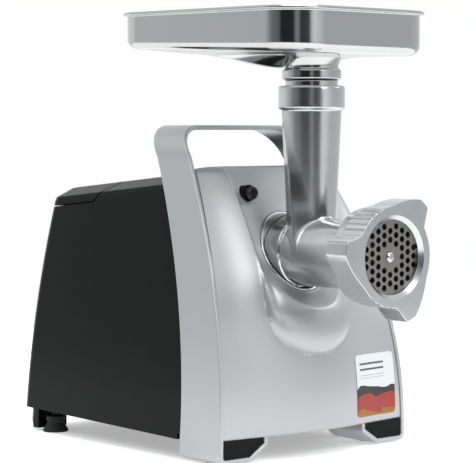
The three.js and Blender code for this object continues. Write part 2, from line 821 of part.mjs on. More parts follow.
const lipRear = ringFront + ringLipThickness;
const discFront = lipRear + gap;
const discRear = discFront + discThickness;
const bladeFront = discRear + gap;
const bladeRear = bladeFront + bladeThickness;
const cupFront = discFront + 1.6;
const cupRear = cupFront + cupDepth;
const flangeRear = flangeFront + flangeThickness;
const augerFront = bladeRear + gap;
const augerRear = flangeFront - 2;

// Barrel with its threaded cup, rear flange and spigot, and the feed tube that opens into it
const feedLow = feedBottomRadius;
const barrelBody = turnedY(
  [
    [0, cupFront],
    [cupRadius, cupFront],
    [cupRadius, cupRear - 6],
    [barrelRadius + 1.5, cupRear],
    [barrelRadius, cupRear + 8],
    [barrelRadius, flangeFront - rimLength],
    [flangeRadius, flangeFront - rimLength],
    [flangeRadius, flangeRear],
    [spigotRadius, flangeRear],
    [spigotRadius, flangeRear + spigotLength],
    [0, flangeRear + spigotLength],
  ],
  28,
);
const barrelBore = turnedY(
  [
    [0, cupFront - 5],
    [discRadius + gap, cupFront - 5],
    [discRadius + gap, augerFront - gap],
    [boreRadius, augerFront + 2],
    [boreRadius, augerRear + 1.5],
    [couplingRadius + runningGap, augerRear + 1.5],
    [couplingRadius + runningGap, flangeRear + spigotLength + 5],
    [0, flangeRear + spigotLength + 5],
  ],
  28,
);
const tubeFoot = 12;
const tubeTop = collarTop - augerHeight;
const tubeOuter = joined(
  rodZ(feedTopRadius, tubeFoot, collarBottom - augerHeight, 0, feedY, 24, feedLow),
  rodZ(collarRadius, collarBottom - augerHeight - 0.2, tubeTop, 0, feedY, 24),
);
const web = prismX(
  [
    [feedY + 12, 14],
    [flangeFront - 1, 20],
    [flangeFront - 2, 26],
    [feedY + 17, 74],
    [feedY + 12, 74],
  ],
  -2.5,
  2.5,
);
const tubeInner = joined(
  rodZ(neckRadius - traySheet, 0, neckBottom - augerHeight, 0, feedY, 24, feedLow - feedWall),
  rodZ(neckRadius + gap, neckBottom - gap - augerHeight, tubeTop + 5, 0, feedY, 24),
);
const mincerHead = cut(joined(barrelBody, tubeOuter, web), barrelBore, tubeInner);
add(augerLine, "mincer_head", mincerHead, finishes.aluminium);

// Locking ring: three lobes round a threaded sleeve, with a chamfered mouth
function lobeReach(offset) {
  const flank = offset < 0 ? lobeSteep : lobeGentle;
  const down = Math.min(Math.max(Math.abs(offset) - lobeHalfAngle, 0) / flank, 1);
  return ringRadius + (lobeRadius - ringRadius) * (1 - down) ** lobeHollow;
}
function lobedOutline() {
  const steps = (from, to, count) => {
    return Array.from({ length: count }, (_, i) => from + ((to - from) * i) / count);
  };
  const steepFoot = -lobeHalfAngle - lobeSteep;
  const gentleFoot = lobeHalfAngle + lobeGentle;
  const offsets = [
    ...steps(steepFoot, -lobeHalfAngle, 4),
    -lobeHalfAngle,
    ...steps(lobeHalfAngle, gentleFoot, 6),
    ...steps(gentleFoot, steepFoot + 120, 6),
  ];
  return [0, 1, 2].flatMap((lobe) =>
    offsets.map((offset) => {
      const angle = radians(lobeAngle + lobe * 120 + offset);
      const reach = lobeReach(offset);
      return [reach * Math.cos(angle), reach * Math.sin(angle)];
    }),
  );
}
const ringBore = turnedY(
  [
    [0, ringFront - 1],
    [ringMouth + 4.5, ringFront - 1],
    [ringMouth, lipRear - 1],
    [ringMouth, lipRear],
    [cupRadius + gap, lipRear],
    [cupRadius + gap, ringFront + ringDepth + 5],
    [0, ringFront + ringDepth + 5],
  ],
  28,
);
const lobes = prismY(lobedOutline(), ringFront, ringFront + lobeDepth);
const ringSleeve = rodY(ringRadius - 1.5, ringFront + 2, ringFront + ringDepth, 0, 0, 28);
add(augerLine, "screw_ring", cut(joined(lobes, ringSleeve), ringBore), finishes.aluminium);

// Disc: staggered columns of holes round a plain centre; a notch keeps it from turning
const columns = [[2, 3], [1.5, 2.5, 3.5], [0, 1, 2, 3], [0.5, 1.5, 2.5], [0, 1]];
const columnSpacing = 6.2;
let disc = rodY(discRadius, discFront, discRear, 0, 0, 32);
const holes = [];
columns.forEach((rows, column) => {
  for (const row of rows) {
    for (const sx of column ? [-1, 1] : [1]) {
      for (const sz of row ? [-1, 1] : [1]) {
        const [x, z] = [sx * column * columnSpacing, sz * row * discPitch];
        holes.push(rodY(discHole / 2, discFront - 1, discRear + 1, x, z, 6));
      }
    }
  }
});
const pinRadius = 4;
disc = cut(disc, ...holes, rodY(pinRadius + runningGap / 2, discFront - 1, discRear + 1, 0, 0, 16));
add(augerLine, "perforated_disc", disc, finishes.discSteel);

// Four-armed blade on the auger's square
const squareHalf = 4.6;
const hub = rodY(bladeHub, bladeFront, bladeRear, 0, 0, 20);
const arm = box(-bladeReach, bladeReach, bladeFront, bladeRear - 1.5, -bladeArm, bladeArm);
const crossArm = box(-bladeArm, bladeArm, bladeFront, bladeRear - 1.5, -bladeReach, bladeReach);
const squareHole = box(
  -squareHalf - gap,
  squareHalf + gap,
  bladeFront - 1,
  bladeRear + 1,
  -squareHalf - gap,
  squareHalf + gap,
);
add(augerLine, "cross_blade", cut(joined(hub, arm, crossArm), squareHole), finishes.steel);

// Auger: a core with one helical flight, whose height falls away at both ends
function augerScrew() {
  const sides = 16;
  const steps = 28;
  const rings = [];
  for (let i = 0; i <= steps; i++) {
    const y = augerFront + ((augerRear - augerFront) * i) / steps;
    const started = smooth(y, augerFront - 4, augerFront + 8);
    const fade = started * (1 - smooth(y, augerRear - 8, augerRear + 2));
    const ring = [];
    for (let j = 0; j < sides; j++) {
      const angle = (j * turn) / sides;
      const phase = (angle / turn + y / augerPitch + 100) % 1;
      const crest = Math.max(0, 1 - Math.abs(phase - 0.5) * 4.2);
      const rise = smooth(crest, 0, 0.8) * (0.25 + 0.75 * fade);
      const radius = augerCore + (augerRadius - augerCore) * rise;
      ring.push([radius * Math.cos(angle), y, radius * Math.sin(angle)]);
    }
    rings.push(ring);
  }
  return loft(rings);
}
const couplingRear = augerRear + 26;
const auger = joined(
  augerScrew(),
  box(-squareHalf, squareHalf, bladeFront + 0.5, augerFront + 3, -squareHalf, squareHalf),
  rodY(pinRadius, discFront - 0.8, bladeFront + 2, 0, 0, 16),
  rodY(augerHex, augerRear - 2, augerRear + 8, 0, 0, 6),
);
const screwThread = rodY(screwRadius + gap, augerRear - 4, augerRear + 20, 0, 0, 12);
add(augerLine, "auger", cut(auger, screwThread), finishes.aluminium);

// Plastic coupling between the auger and the output shaft; it shears before the gears do
const augerHexHole = rodY(augerHex + gap, augerRear - 1, augerRear + 8 + gap, 0, 0, 6);
const shaftHexHole = rodY(hexSize + gap, augerRear + 14, couplingRear + 5, 0, 0, 6);
const couplingBody = rodY(couplingRadius, augerRear + gap + 1.5 + gap, couplingRear, 0, 0, 28);
const screwPass = rodY(screwRadius + gap, augerRear, couplingRear, 0, 0, 12);
const coupling = cut(couplingBody, augerHexHole, shaftHexHole, screwPass);
add(augerLine, "auger_coupling", coupling, finishes.nylon);
const washer = cut(
  rodY(18, augerRear + gap, augerRear + gap + 1.5 - gap, 0, 0, 28),
  rodY(augerHex + 2 * gap, augerRear - 1, augerRear + 5, 0, 0, 12),
);
add(augerLine, "auger_washer", washer, finishes.nylon);
const couplingScrew = joined(
  rodY(screwRadius, augerRear - 2, augerRear + 14.5, 0, 0, 12),
  rodY(3.6, augerRear + 14 + gap, augerRear + 16.8, 0, 0, 16),
);
add(augerLine, "coupling_screw", couplingScrew, finishes.steel);

// Socket that the head's spigot turns into, fixed to the gearbox
const socketFront = flangeRear + gap;
const socketBore = rodY(spigotRadius + gap, socketFront - 5, flangeRear + spigotLength + gap, 0, 0, 28);
const socketBack = rodY(couplingRadius + 2, socketFront, gearboxFront, 0, 0, 28);
// The collar in front of the head's flange ends level with the fascia, which leans.
const socketCollar = cut(
  rodY(socketRadius, -20, socketFront + 1, 0, 0, 28),
  rodY(flangeRadius + runningGap, -30, socketFront, 0, 0, 28),
  moved(beforeFascia, 0, 0, -augerHeight),
);
const socket = cut(
  joined(
    rodY(socketRadius, socketFront, socketRear, 0, 0, 28),
    rodY(socketRadius + 8, socketRear, gearboxFront - gap, 0, 0, 28),
    socketCollar,
  ),
  socketBore,
  socketBack,
);
add(augerLine, "socket_ring", socket, finishes.aluminium);

// ---------------------------------------------------------------- feed tray

// Rings from the rolled rim down the outside, through the neck, and up again inside
function trayRings() {
  const perCorner = 5;
  const halfX = trayWidth / 2;
  const halfY = trayLength / 2;
  const front = trayY - halfY;
  // Walls keep their height at the rim and take the floor's slope at the foot; lift is above the floor.
  const ring = (halfA, halfB, corner, lift, towardsNeck, chute = 0) => {
    const middle = trayY + (feedY - trayY) * towardsNeck;
    return roundedRing(halfA, halfB, corner, perCorner).map(([u, v]) => {
      const y = middle + v;
      const floor = trayFloor + floorRise * (y - front) * (1 - towardsNeck);
      const sunk = trayDrop * chute * smooth(v / halfB, -0.6, 0.6);
      const tilted = trayTilt * (y - feedY) * (1 - towardsNeck);
      return [u, y, floor + lift - sunk + tilted];
    });
  };
  const rim = (halfA, corner, drop) => {
    const grown = halfA - halfX;
    return roundedRing(halfA, halfY + grown, corner, perCorner).map(([u, v]) => {
      const y = trayY + v;
      return [u, y, trayRim - drop + trayTilt * (y - feedY)];
    });
  };
  const round = (radius, z) => {
    return roundedRing(radius, radius, radius, perCorner).map(([u, v]) => [u, feedY + v, z]);
  };
  const wallX = halfX - rimRoll;
  const wallY = halfY - rimRoll;
  const corner = trayCorner - rimRoll;
  const innerX = wallX - traySheet;
  const outside = [
    rim(halfX - 0.8, trayCorner, 2.6),
    rim(wallX, corner, 3.2),
    ring(wallX, wallY, corner, 8, 0),
    ring(wallX - 2.4, wallY - 2.4, corner - 2, 2.6, 0),
    ring(wallX - 8, wallY - 8, corner - 6, 0, 0),
    ring(...dishHalf, trayCorner, -chuteSink / 2, 0.55, 0.1),
    ring(...chuteHalf, chuteHalf[0], -chuteSink, 0.9, 0.85),
    round(beadRadius, neckTop - 3),
    round(waistRadius, neckTop - 8),
    round(beadRadius, neckTop - 10),
    round(beadRadius, neckTop - 15),
    round(neckRadius, neckTop - 18),
    round(neckRadius, neckBottom),
  ];
  const inside = [
    round(neckRadius - traySheet, neckBottom),
    round(neckRadius - traySheet, neckTop - 4),
    ring(chuteHalf[0] - 1, chuteHalf[1] - 1, chuteHalf[0] - 1, traySheet - chuteSink, 0.9, 0.85),
    ring(...dishHalf, trayCorner, traySheet - 0.6, 0.55, 0.1),
    ring(wallX - 8, wallY - 8, corner - 6, traySheet, 0),
    ring(wallX - 3.4, wallY - 3.4, corner - 3, 3.6, 0),
    ring(innerX, wallY - traySheet, corner - 1, 8.4, 0),
    rim(innerX, corner - 1, 1.4),
    rim(wallX + 0.8, corner + 0.8, 0),
    rim(halfX - 1, trayCorner - 1, 0.4),
    rim(halfX, trayCorner, 1.5),
  ];
  return [...outside, ...inside];
}
add(grinder, "feed_tray", loft(trayRings(), true), finishes.steel);

// ---------------------------------------------------------------- gear train

const centreDistance = ({ pinion, gear, module }) => ((pinion + gear) * module) / 2;
const stepFrom = ([x, z], stage) => [
  x + centreDistance(stage) * Math.cos(radians(stage.bearing)),
  z + centreDistance(stage) * Math.sin(radians(stage.bearing)),
];
const outputAxis = [0, augerHeight];
const secondAxis = stepFrom(outputAxis, stageThree);
const firstAxis = stepFrom(secondAxis, stageTwo);
// The first stage's bearing is measured from the motor to the first gear, so the motor lies back along it.
const motorAxis = [
  firstAxis[0] - centreDistance(stageOne) * Math.cos(radians(stageOne.bearing)),
  firstAxis[1] - centreDistance(stageOne) * Math.sin(radians(stageOne.bearing)),
];

// Straight teeth with room to turn; phase is the direction of one tooth's middle
function toothed(teeth, module, y0, y1, [x, z], phase) {
  const pitchRadius = (teeth * module) / 2;
  const step = turn / teeth;
  const points = [];
  for (let i = 0; i < teeth; i++) {
    const middle = phase + i * step;
    for (const [share, radius] of [
      [-0.23, pitchRadius - 1.25 * module],
      [-0.1, pitchRadius + 0.9 * module],
      [0.1, pitchRadius + 0.9 * module],
      [0.23, pitchRadius - 1.25 * module],
    ]) {
      const angle = middle + share * step;
      points.push([x + radius * Math.cos(angle), z + radius * Math.sin(angle)]);
    }
  }
  return prismY(points, y0, y1);
}
const direction = ([ax, az], [bx, bz]) => Math.atan2(bz - az, bx - ax);
// A gear meets its pinion tooth to gap: the pinion has a gap where the gear has a tooth.
const meshPhase = (teeth, towards) => towards + Math.PI / teeth;

const layerThree = [gearboxFront + gearboxWall + 8, gearboxFront + gearboxWall + 8 + gearWidths[2]];
const layerTwo = [layerThree[1] + gearSpace, layerThree[1] + gearSpace + gearWidths[1]];
const layerOne = [layerTwo[1] + gearSpace, layerTwo[1] + gearSpace + gearWidths[0]];
const gearboxRear = layerOne[1] + gearSpace + 1;
const [outX, outZ] = outputAxis;
const [motorX, motorZ] = motorAxis;

const outputBore = rodY(outputRadius + gap, layerThree[0] - 5, layerThree[1] + 5, outX, outZ, 24);
const towardsSecond = direction(outputAxis, secondAxis);
const outputGear = cut(
  joined(
    toothed(stageThree.gear, stageThree.module, layerThree[0], layerThree[1], outputAxis, towardsSecond),
    rodY(14, layerThree[0] - 3, layerThree[1], outX, outZ, 24),
  ),
  outputBore,
);
add(grinder, "output_gear", outputGear, finishes.nylon);

const shaftFront = augerRear + 17.6;
const outputShaft = joined(
  rodY(hexSize, shaftFront, couplingRear + 6, outX, outZ, 6),
  rodY(outputRadius, couplingRear + 6 - 0.1, gearboxRear - gap, outX, outZ, 24),
);
add(grinder, "output_shaft", outputShaft, finishes.steel);

const shaftBore = (radius, [x, z]) => rodY(radius + gap, 0, 300, x, z, 16);
const pinShaftRadius = 4;
const secondGear = cut(
  joined(
    toothed(
      stageThree.pinion,
      stageThree.module,
      layerThree[0] - 1,
      layerTwo[0] + 1,
      secondAxis,
      meshPhase(stageThree.pinion, direction(secondAxis, outputAxis)),
    ),
    toothed(
      stageTwo.gear,
      stageTwo.module,
      layerTwo[0],
      layerTwo[1],
      secondAxis,
      direction(secondAxis, firstAxis),
    ),
  ),
  shaftBore(pinShaftRadius, secondAxis),
);
add(grinder, "second_gear", secondGear, finishes.steel);
const firstGear = cut(
  joined(
    toothed(
      stageTwo.pinion,
      stageTwo.module,
      layerTwo[0] - 1,
      layerOne[0] + 1,
      firstAxis,
      meshPhase(stageTwo.pinion, direction(firstAxis, secondAxis)),
    ),
    toothed(
      stageOne.gear,
      stageOne.module,
      layerOne[0],
      layerOne[1],
      firstAxis,
      direction(firstAxis, motorAxis),
    ),
  ),
  shaftBore(pinShaftRadius, firstAxis),
);
add(grinder, "first_gear", firstGear, finishes.nylon);
for (const [name, [x, z]] of [["second_shaft", secondAxis], ["first_shaft", firstAxis]]) {
  const pin = rodY(pinShaftRadius, gearboxFront + gearboxWall + gap, gearboxRear - gap, x, z, 16);
  add(grinder, name, pin, finishes.steel);
}

// Gearbox: a cup behind the socket and a plate that carries the motor. Its outline wraps the gears.
function wrapped(circles) {
  const cloud = circles.flatMap(([[x, z], radius]) =>
    Array.from({ length: 24 }, (_, i) => {
      const angle = (i * turn) / 24;
      return [x + radius * Math.cos(angle), z + radius * Math.sin(angle)];
    }),
  );
  cloud.sort((p, q) => p[0] - q[0] || p[1] - q[1]);
  const cross = (o, p, q) => (p[0] - o[0]) * (q[1] - o[1]) - (p[1] - o[1]) * (q[0] - o[0]);
  const chain = (points) => {
    const hull = [];
    for (const point of points) {
      while (hull.length > 1 && cross(hull.at(-2), hull.at(-1), point) <= 1e-9) hull.pop();
      hull.push(point);
    }
    return hull.slice(0, -1);
  };
  return [...chain(cloud), ...chain(cloud.reverse())];
}
const gearTip = (stage) => (stage.gear / 2 + 1) * stage.module;
const gearboxOutline = (margin) =>
  wrapped([
    [outputAxis, gearTip(stageThree) + margin],
    [secondAxis, gearTip(stageTwo) + margin],
    [firstAxis, gearTip(stageOne) + margin],
    [motorAxis, 14 + margin],
  ]);
const frontBearing = [gearboxFront + 1.5, gearboxFront + gearboxWall + 4];
let frontCover = cut(
  prismY(gearboxOutline(gearMargin), gearboxFront, gearboxRear - gap),
  prismY(gearboxOutline(gearMargin - 2.5), gearboxFront + gearboxWall, gearboxRear + 5),
);
frontCover = cut(
  frontCover.add(rodY(bearingRadius + 3, gearboxFront + 1, frontBearing[1], outX, outZ, 28)),
  rodY(bearingRadius + gap, frontBearing[0] - gap, frontBearing[1] + 5, outX, outZ, 28),
  rodY(outputRadius + runningGap, gearboxFront - 5, gearboxFront + 20, outX, outZ, 24),
);
add(grinder, "gearbox_front_cover", frontCover, finishes.aluminium);
const rearCoverEnd = gearboxRear + gearboxWall;
const rearCover = cut(
  prismY(gearboxOutline(gearMargin), gearboxRear, rearCoverEnd),
  rodY(motorBearing + gap, gearboxRear - 5, rearCoverEnd + 5, motorX, motorZ, 24),
);
add(grinder, "gearbox_rear_cover", rearCover, finishes.aluminium);

function bearing(name, outer, inner, y0, y1, [x, z]) {
  const race = cut(rodY(outer, y0, y1, x, z, 28), rodY(inner + gap, y0 - 1, y1 + 1, x, z, 20));
  add(grinder, name, race, finishes.steel);
}
bearing("output_bearing", bearingRadius, outputRadius, frontBearing[0], frontBearing[1], outputAxis);
bearing("motor_front_bearing", motorBearing, shaftRadius, gearboxRear + 0.5, rearCoverEnd - 0.5, motorAxis);

// ---------------------------------------------------------------- motor

const statorFront = rearCoverEnd + motorSpace;
const statorRear = statorFront + statorLength;
const coilLength = 11;
const commutatorFront = statorRear + 16;
const commutatorRear = commutatorFront + 14;
const fanFront = commutatorRear + 6;
const fanRear = fanFront + 9;
const bracketFront = fanRear + 3;
const bracketRear = bracketFront + 4;
const axisCore = (radius, y0, y1, sides = 24) => rodY(radius, y0, y1, motorX, motorZ, sides);

const armature = joined(
  axisCore(pinionSeat, layerOne[0] - 2, gearboxRear + 1, 12),
  axisCore(shaftRadius, gearboxRear, bracketRear + 2, 16),
  axisCore(rotorRadius, statorFront, statorRear, 32),
  rodY(rotorRadius - 4, statorFront - 7, statorFront + 1, motorX, motorZ, 28, 11),
  rodY(12, statorRear - 1, statorRear + 9, motorX, motorZ, 28, rotorRadius - 4),
);
add(grinder, "armature", armature, finishes.lamination);
const pinionTowards = direction(motorAxis, firstAxis);
const motorPinion = cut(
  toothed(
    stageOne.pinion,
    stageOne.module,
    layerOne[0] - 1,
    layerOne[1] + 1,
    motorAxis,
    meshPhase(stageOne.pinion, pinionTowards),
  ),
  axisCore(pinionSeat + gap, 0, 300, 12),
);
add(grinder, "motor_pinion", motorPinion, finishes.steel);

const commutator = cut(
  axisCore(commutatorRadius, commutatorFront, commutatorRear, 28),
  axisCore(shaftRadius + gap, 0, 400, 16),
);
add(grinder, "commutator", commutator, finishes.copper);

const statorOutline = roundedRing(statorWidth / 2, statorHeight / 2, 14, 4);
const statorBlock = prismY(
  statorOutline.map(([x, z]) => [x + motorX, z + motorZ]),
  statorFront,
  statorRear,
);
const boltX = statorWidth / 2 - 6;
const boltHole = (side) => rodY(boltRadius + gap, 0, 400, motorX + side * boltX, motorZ, 12);
const statorBore = axisCore(rotorRadius + airGap, 0, 400, 32);
const stator = cut(statorBlock, statorBore, boltHole(-1), boltHole(1));
add(grinder, "stator", stator, finishes.lamination);
for (const [name, y0] of [
  ["field_coil_front", statorFront - gap - coilLength],
  ["field_coil_rear", statorRear + gap],
]) {
  const ring = cut(axisCore(30, y0, y0 + coilLength, 32), axisCore(rotorRadius + airGap + 1, 0, 400, 32));
  add(grinder, name, ring, finishes.copper);
}

for (const [side, sign] of [["left", -1], ["right", 1]]) {
  const near = motorX + sign * (commutatorRadius + runningGap);
  const far = motorX + sign * (commutatorRadius + 16);
  const [x0, x1] = [Math.min(near, far), Math.max(near, far)];
  const middle = (commutatorFront + commutatorRear) / 2;
  const brush = box(x0, x1, middle - 4, middle + 4, motorZ - 3, motorZ + 3);
  add(grinder, `brush_${side}`, brush, finishes.darkGrey);
  const boltPlace = motorX + sign * boltX;
  const bolt = joined(
    rodY(boltRadius, rearCoverEnd + gap, bracketRear + 4, boltPlace, motorZ, 12),
    rodY(2 * boltRadius, bracketRear + gap, bracketRear + 4, boltPlace, motorZ, 6),
  );
  add(grinder, `motor_bolt_${side}`, bolt, finishes.steel);
}

const blades = 8;
let fan = joined(axisCore(9, fanFront, fanRear, 20), axisCore(fanRadius, fanFront, fanFront + 1.5, 24));
for (let i = 0; i < blades; i++) {
  const angle = (i * turn) / blades;
  const blade = solid(
    new THREE.BoxGeometry(fanRadius - 10, fanRear - fanFront - 1, 1.6)
      .translate((fanRadius + 6) / 2, 0, 0)
      .rotateY(angle)
      .translate(motorX, (fanFront + fanRear + 1) / 2, motorZ),
  );
  fan = fan.add(blade);
}
add(grinder, "motor_fan", cut(fan, axisCore(shaftRadius + gap, 0, 400, 16)), finishes.darkGrey);

const bracketOutline = roundedRing(statorWidth / 2, 15, 10, 3).map(([x, z]) => [x + motorX, z + motorZ]);
const bracket = cut(
  prismY(bracketOutline, bracketFront, bracketRear),
  axisCore(motorBearing + gap, 0, 400, 24),
  boltHole(-1),
  boltHole(1),
);
add(grinder, "motor_rear_bracket", bracket, finishes.aluminium);
bearing("motor_rear_bearing", motorBearing, shaftRadius, bracketFront - 1, bracketRear + 1, motorAxis);

// The part's frame: the middle of its box on the floor
grinder.position.y = -(ringFront + rearAt(lowAt(housingRear))) / 2;

export default grinder;
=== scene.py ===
# Electric meat grinder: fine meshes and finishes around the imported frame.
# Sizes are in millimetres. y starts at the front edge of the carry frame's feet until a mesh is made.
import json
import math

import bmesh
import bpy
import numpy as np
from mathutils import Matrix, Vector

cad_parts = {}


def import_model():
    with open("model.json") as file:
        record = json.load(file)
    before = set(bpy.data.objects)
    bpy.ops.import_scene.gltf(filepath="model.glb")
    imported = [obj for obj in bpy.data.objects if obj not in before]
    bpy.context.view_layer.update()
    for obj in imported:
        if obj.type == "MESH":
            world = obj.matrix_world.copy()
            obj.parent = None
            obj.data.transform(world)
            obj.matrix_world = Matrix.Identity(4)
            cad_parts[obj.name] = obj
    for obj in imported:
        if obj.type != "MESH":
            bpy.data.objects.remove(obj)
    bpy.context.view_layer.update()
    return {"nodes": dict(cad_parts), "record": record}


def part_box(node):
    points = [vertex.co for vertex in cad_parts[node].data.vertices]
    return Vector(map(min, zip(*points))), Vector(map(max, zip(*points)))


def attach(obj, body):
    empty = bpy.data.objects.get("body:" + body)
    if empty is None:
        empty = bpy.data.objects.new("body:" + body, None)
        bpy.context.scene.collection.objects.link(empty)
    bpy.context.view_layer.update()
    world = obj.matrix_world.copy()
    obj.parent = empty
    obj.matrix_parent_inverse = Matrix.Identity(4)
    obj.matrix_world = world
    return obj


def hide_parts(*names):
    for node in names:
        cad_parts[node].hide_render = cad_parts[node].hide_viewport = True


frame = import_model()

MM = 0.001


def span(node):
    """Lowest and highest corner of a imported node, in millimetres."""
    low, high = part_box(node)
    return np.array(low) / MM, np.array(high) / MM


def middle_of(node):
    """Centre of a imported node, with y from the frame's front edge."""
    low, high = span(node)
    return (low + high) / 2 - (0, front_y, 0)


# ---------------------------------------------------------------- sizes

# Carry frame and its feet.
frame_low, frame_high = span("carry_frame")
front_y = frame_low[1]
half_width = frame_high[0]
frame_top = frame_high[2]
sole = frame_low[2]
side_radius = 900.0
lean = 1.71e-3
lean_start = 25.0
band = 48.5
band_taper = 0.0385
band_thickness = 3.6
band_edge = 1.1
shoulder_radius = 25.0
foot_run = 31.4
foot_reach = 48.3
foot_chamfer_top = 12.1
foot_top = 19.0
foot_corner = 6.0

# Housing and lid.
gap = 0.3
housing_inset = 2.0
housing_wall = 2.5
housing_rear = 262.6
rear_lean = 0.0873
underside_start = 14.0
underside_rise = 0.02
top_start = 217.7
top_fall = 0.096
crown_rise = 8.0
crown_run = 18.0
lid_seam_y = 186.5
lid_skirt = 6.6
lid_slant = 0.96
lid_gap = 0.9
lid_wall = 2.2

# Fascia, with its recess, the ridges beside it and the dome.
fascia_wall = 2.6
fascia_bottom = 19.0
fascia_bulge = 7.6
fascia_bow = 2.15e-3
flush_depth = 1.6
fascia_lift = 2.9
fascia_drop = 3.5
recess_depth = 5.0
recess_half = 36.0
recess_edge = 7.0
ridge_rise = 3.5
ridge_width = 20.0
dome_rise = 11.0
dome_height = 112.0
dome_half_width = 44.0
dome_half_height = 34.0

# Places of the mincing head's pieces.
ring_low, ring_high = span("screw_ring")
disc_low, disc_high = span("perforated_disc")
head_low, head_high = span("mincer_head")
auger_height = (disc_low[2] + disc_high[2]) / 2
socket_radius = 30.5
ring_front = ring_low[1] - front_y
ring_depth = ring_high[1] - ring_low[1]
feed_y = 6.1


def side_at(z):
    return half_width - side_radius + np.sqrt(side_radius**2 - np.square(z))


def lean_at(z):
    return lean * np.maximum(np.asarray(z, float) - lean_start, 0) ** 2


def band_at(z):
    return band - band_taper * z


def rear_at(z):
    return housing_rear - rear_lean * z


def top_at(y):
    return top_start - top_fall * y


def low_at(y):
    return underside_start + underside_rise * np.maximum(y, 0)


def smooth(value, start, stop):
    share = np.clip((value - start) / (stop - start), 0, 1)
    return share * share * (3 - 2 * share)


# ---------------------------------------------------------------- mesh tools


def made(name, points, faces):
    """A mesh object from points in the machine's millimetres."""
    place = np.asarray(points, float) + (0, front_y, 0)
    mesh = bpy.data.meshes.new(name)
    mesh.from_pydata((place * MM).tolist(), [], [list(map(int, face)) for face in faces])
    piece = bpy.data.objects.new(name, mesh)
    bpy.context.scene.collection.objects.link(piece)
    return piece


def outward(piece):
    """Welds doubled points and turns every face outwards."""
    work = bmesh.new()
    work.from_mesh(piece.data)
    bmesh.ops.remove_doubles(work, verts=work.verts, dist=1e-6)
    bmesh.ops.dissolve_degenerate(work, edges=work.edges, dist=1e-7)
    bmesh.ops.recalc_face_normals(work, faces=work.faces)
    work.to_mesh(piece.data)
    work.free()
    return piece


def settled(piece):
    """Turns a piece's modifiers into plain mesh."""
    graph = bpy.context.evaluated_depsgraph_get()
    mesh = bpy.data.meshes.new_from_object(piece.evaluated_get(graph))
    piece.modifiers.clear()
    old = piece.data
    piece.data = mesh
    bpy.data.meshes.remove(old)
    return piece


def carved(piece, *tools, operation="DIFFERENCE"):
    """Cuts each tool from a piece, or keeps what they share, and deletes the tools."""
    for tool in tools:
        step = piece.modifiers.new("carve", "BOOLEAN")
        step.operation = operation
        step.solver = "EXACT"
        step.object = tool
    settled(piece)
    for tool in tools:
        bpy.data.objects.remove(tool)
    return piece


def joined(name, pieces):
    """One object that holds the meshes of several."""
    work = bmesh.new()
    for piece in pieces:
        work.from_mesh(piece.data)
    mesh = bpy.data.meshes.new(name)
    work.to_mesh(mesh)
    work.free()
    for piece in pieces:
        bpy.data.objects.remove(piece)
    whole = bpy.data.objects.new(name, mesh)
    bpy.context.scene.collection.objects.link(whole)
    return whole


def finished(piece, slot, body, replaced, sharp=32, finish=None):
    """Shades a piece smooth up to its sharp edges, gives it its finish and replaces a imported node."""
    mesh = piece.data
    mesh.materials.clear()
    mesh.materials.append(finish or finishes[slot])
    mesh.shade_smooth()
    mesh.set_sharp_from_angle(angle=math.radians(sharp))
    weighted = piece.modifiers.new("even_normals", "WEIGHTED_NORMAL")
    weighted.keep_sharp = True
    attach(piece, body)
    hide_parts(replaced)
    return piece


def rounded_line(corners, pieces=5):
    """Points along a line through corners (a, b, radius), with an arc of that radius at each."""
    points = []
    for i, (a, b, radius) in enumerate(corners):
        here = np.array([a, b], float)
        if radius == 0 or i in (0, len(corners) - 1):
            points.append(here)
            continue
        back = np.array(corners[i - 1][:2], float) - here
        ahead = np.array(corners[i + 1][:2], float) - here
        back /= np.linalg.norm(back)
        ahead /= np.linalg.norm(ahead)
        half = math.acos(float(np.clip(back @ ahead, -1, 1))) / 2
        reach = radius / math.tan(half)
        middle = here + (back + ahead) / np.linalg.norm(back + ahead) * radius / math.sin(half)
        start = here + back * reach - middle
        stop = here + ahead * reach - middle
        sweep = math.atan2(start[0] * stop[1] - start[1] * stop[0], start @ stop)
        for k in range(pieces + 1):
            angle = sweep * k / pieces
            turned = (
                start[0] * math.cos(angle) - start[1] * math.sin(angle),
                start[0] * math.sin(angle) + start[1] * math.cos(angle),
            )
            points.append(middle + turned)
    return np.array(points)


def rounded_ring(half_x, half_y, corner, per_corner):
    """Points round a rectangle with round corners; a circle where the corner is the half width."""
    points = []
    for quarter, (sx, sy) in enumerate([(1, 1), (-1, 1), (-1, -1), (1, -1)]):
        for i in range(per_corner):
            angle = (quarter + (i + 0.5) / per_corner) * math.pi / 2
            x = sx * (half_x - corner) + corner * math.cos(angle)
            y = sy * (half_y - corner) + corner * math.sin(angle)
            points.append((x, y))
    return np.array(points)


def loft(name, rings, closed=False, caps=True):
    """A skin through rings that have the same number of points."""
    rings = np.asarray(rings, float)
    count, around = rings.shape[:2]
    faces = []
    for i in range(count if closed else count - 1):
        here, there = i * around, ((i + 1) % count) * around
        for j in range(around):
            k = (j + 1) % around
            faces.append((here + j, there + j, there + k, here + k))
    if caps and not closed:
        faces.append(range(around))
        faces.append(range(count * around - 1, (count - 1) * around - 1, -1))
    return outward(made(name, rings.reshape(-1, 3), faces))


def turned(name, profile, centre, axis="y", sides=64):
    """A closed profile of (radius, place) points turned about an axis through centre."""
    rings = []
    for radius, place in profile:
        angles = np.arange(sides) * 2 * math.pi / sides
        a, b = radius * np.cos(angles), radius * np.sin(angles)
        along = np.full(sides, float(place))
        ring = {"x": (along, a, b), "y": (a, along, b), "z": (a, b, along)}[axis]
        rings.append(np.stack(ring, 1) + centre)
    ends_on_axis = profile[0][0] < 1e-6 and profile[-1][0] < 1e-6
    return loft(name, rings, closed=not ends_on_axis, caps=False)


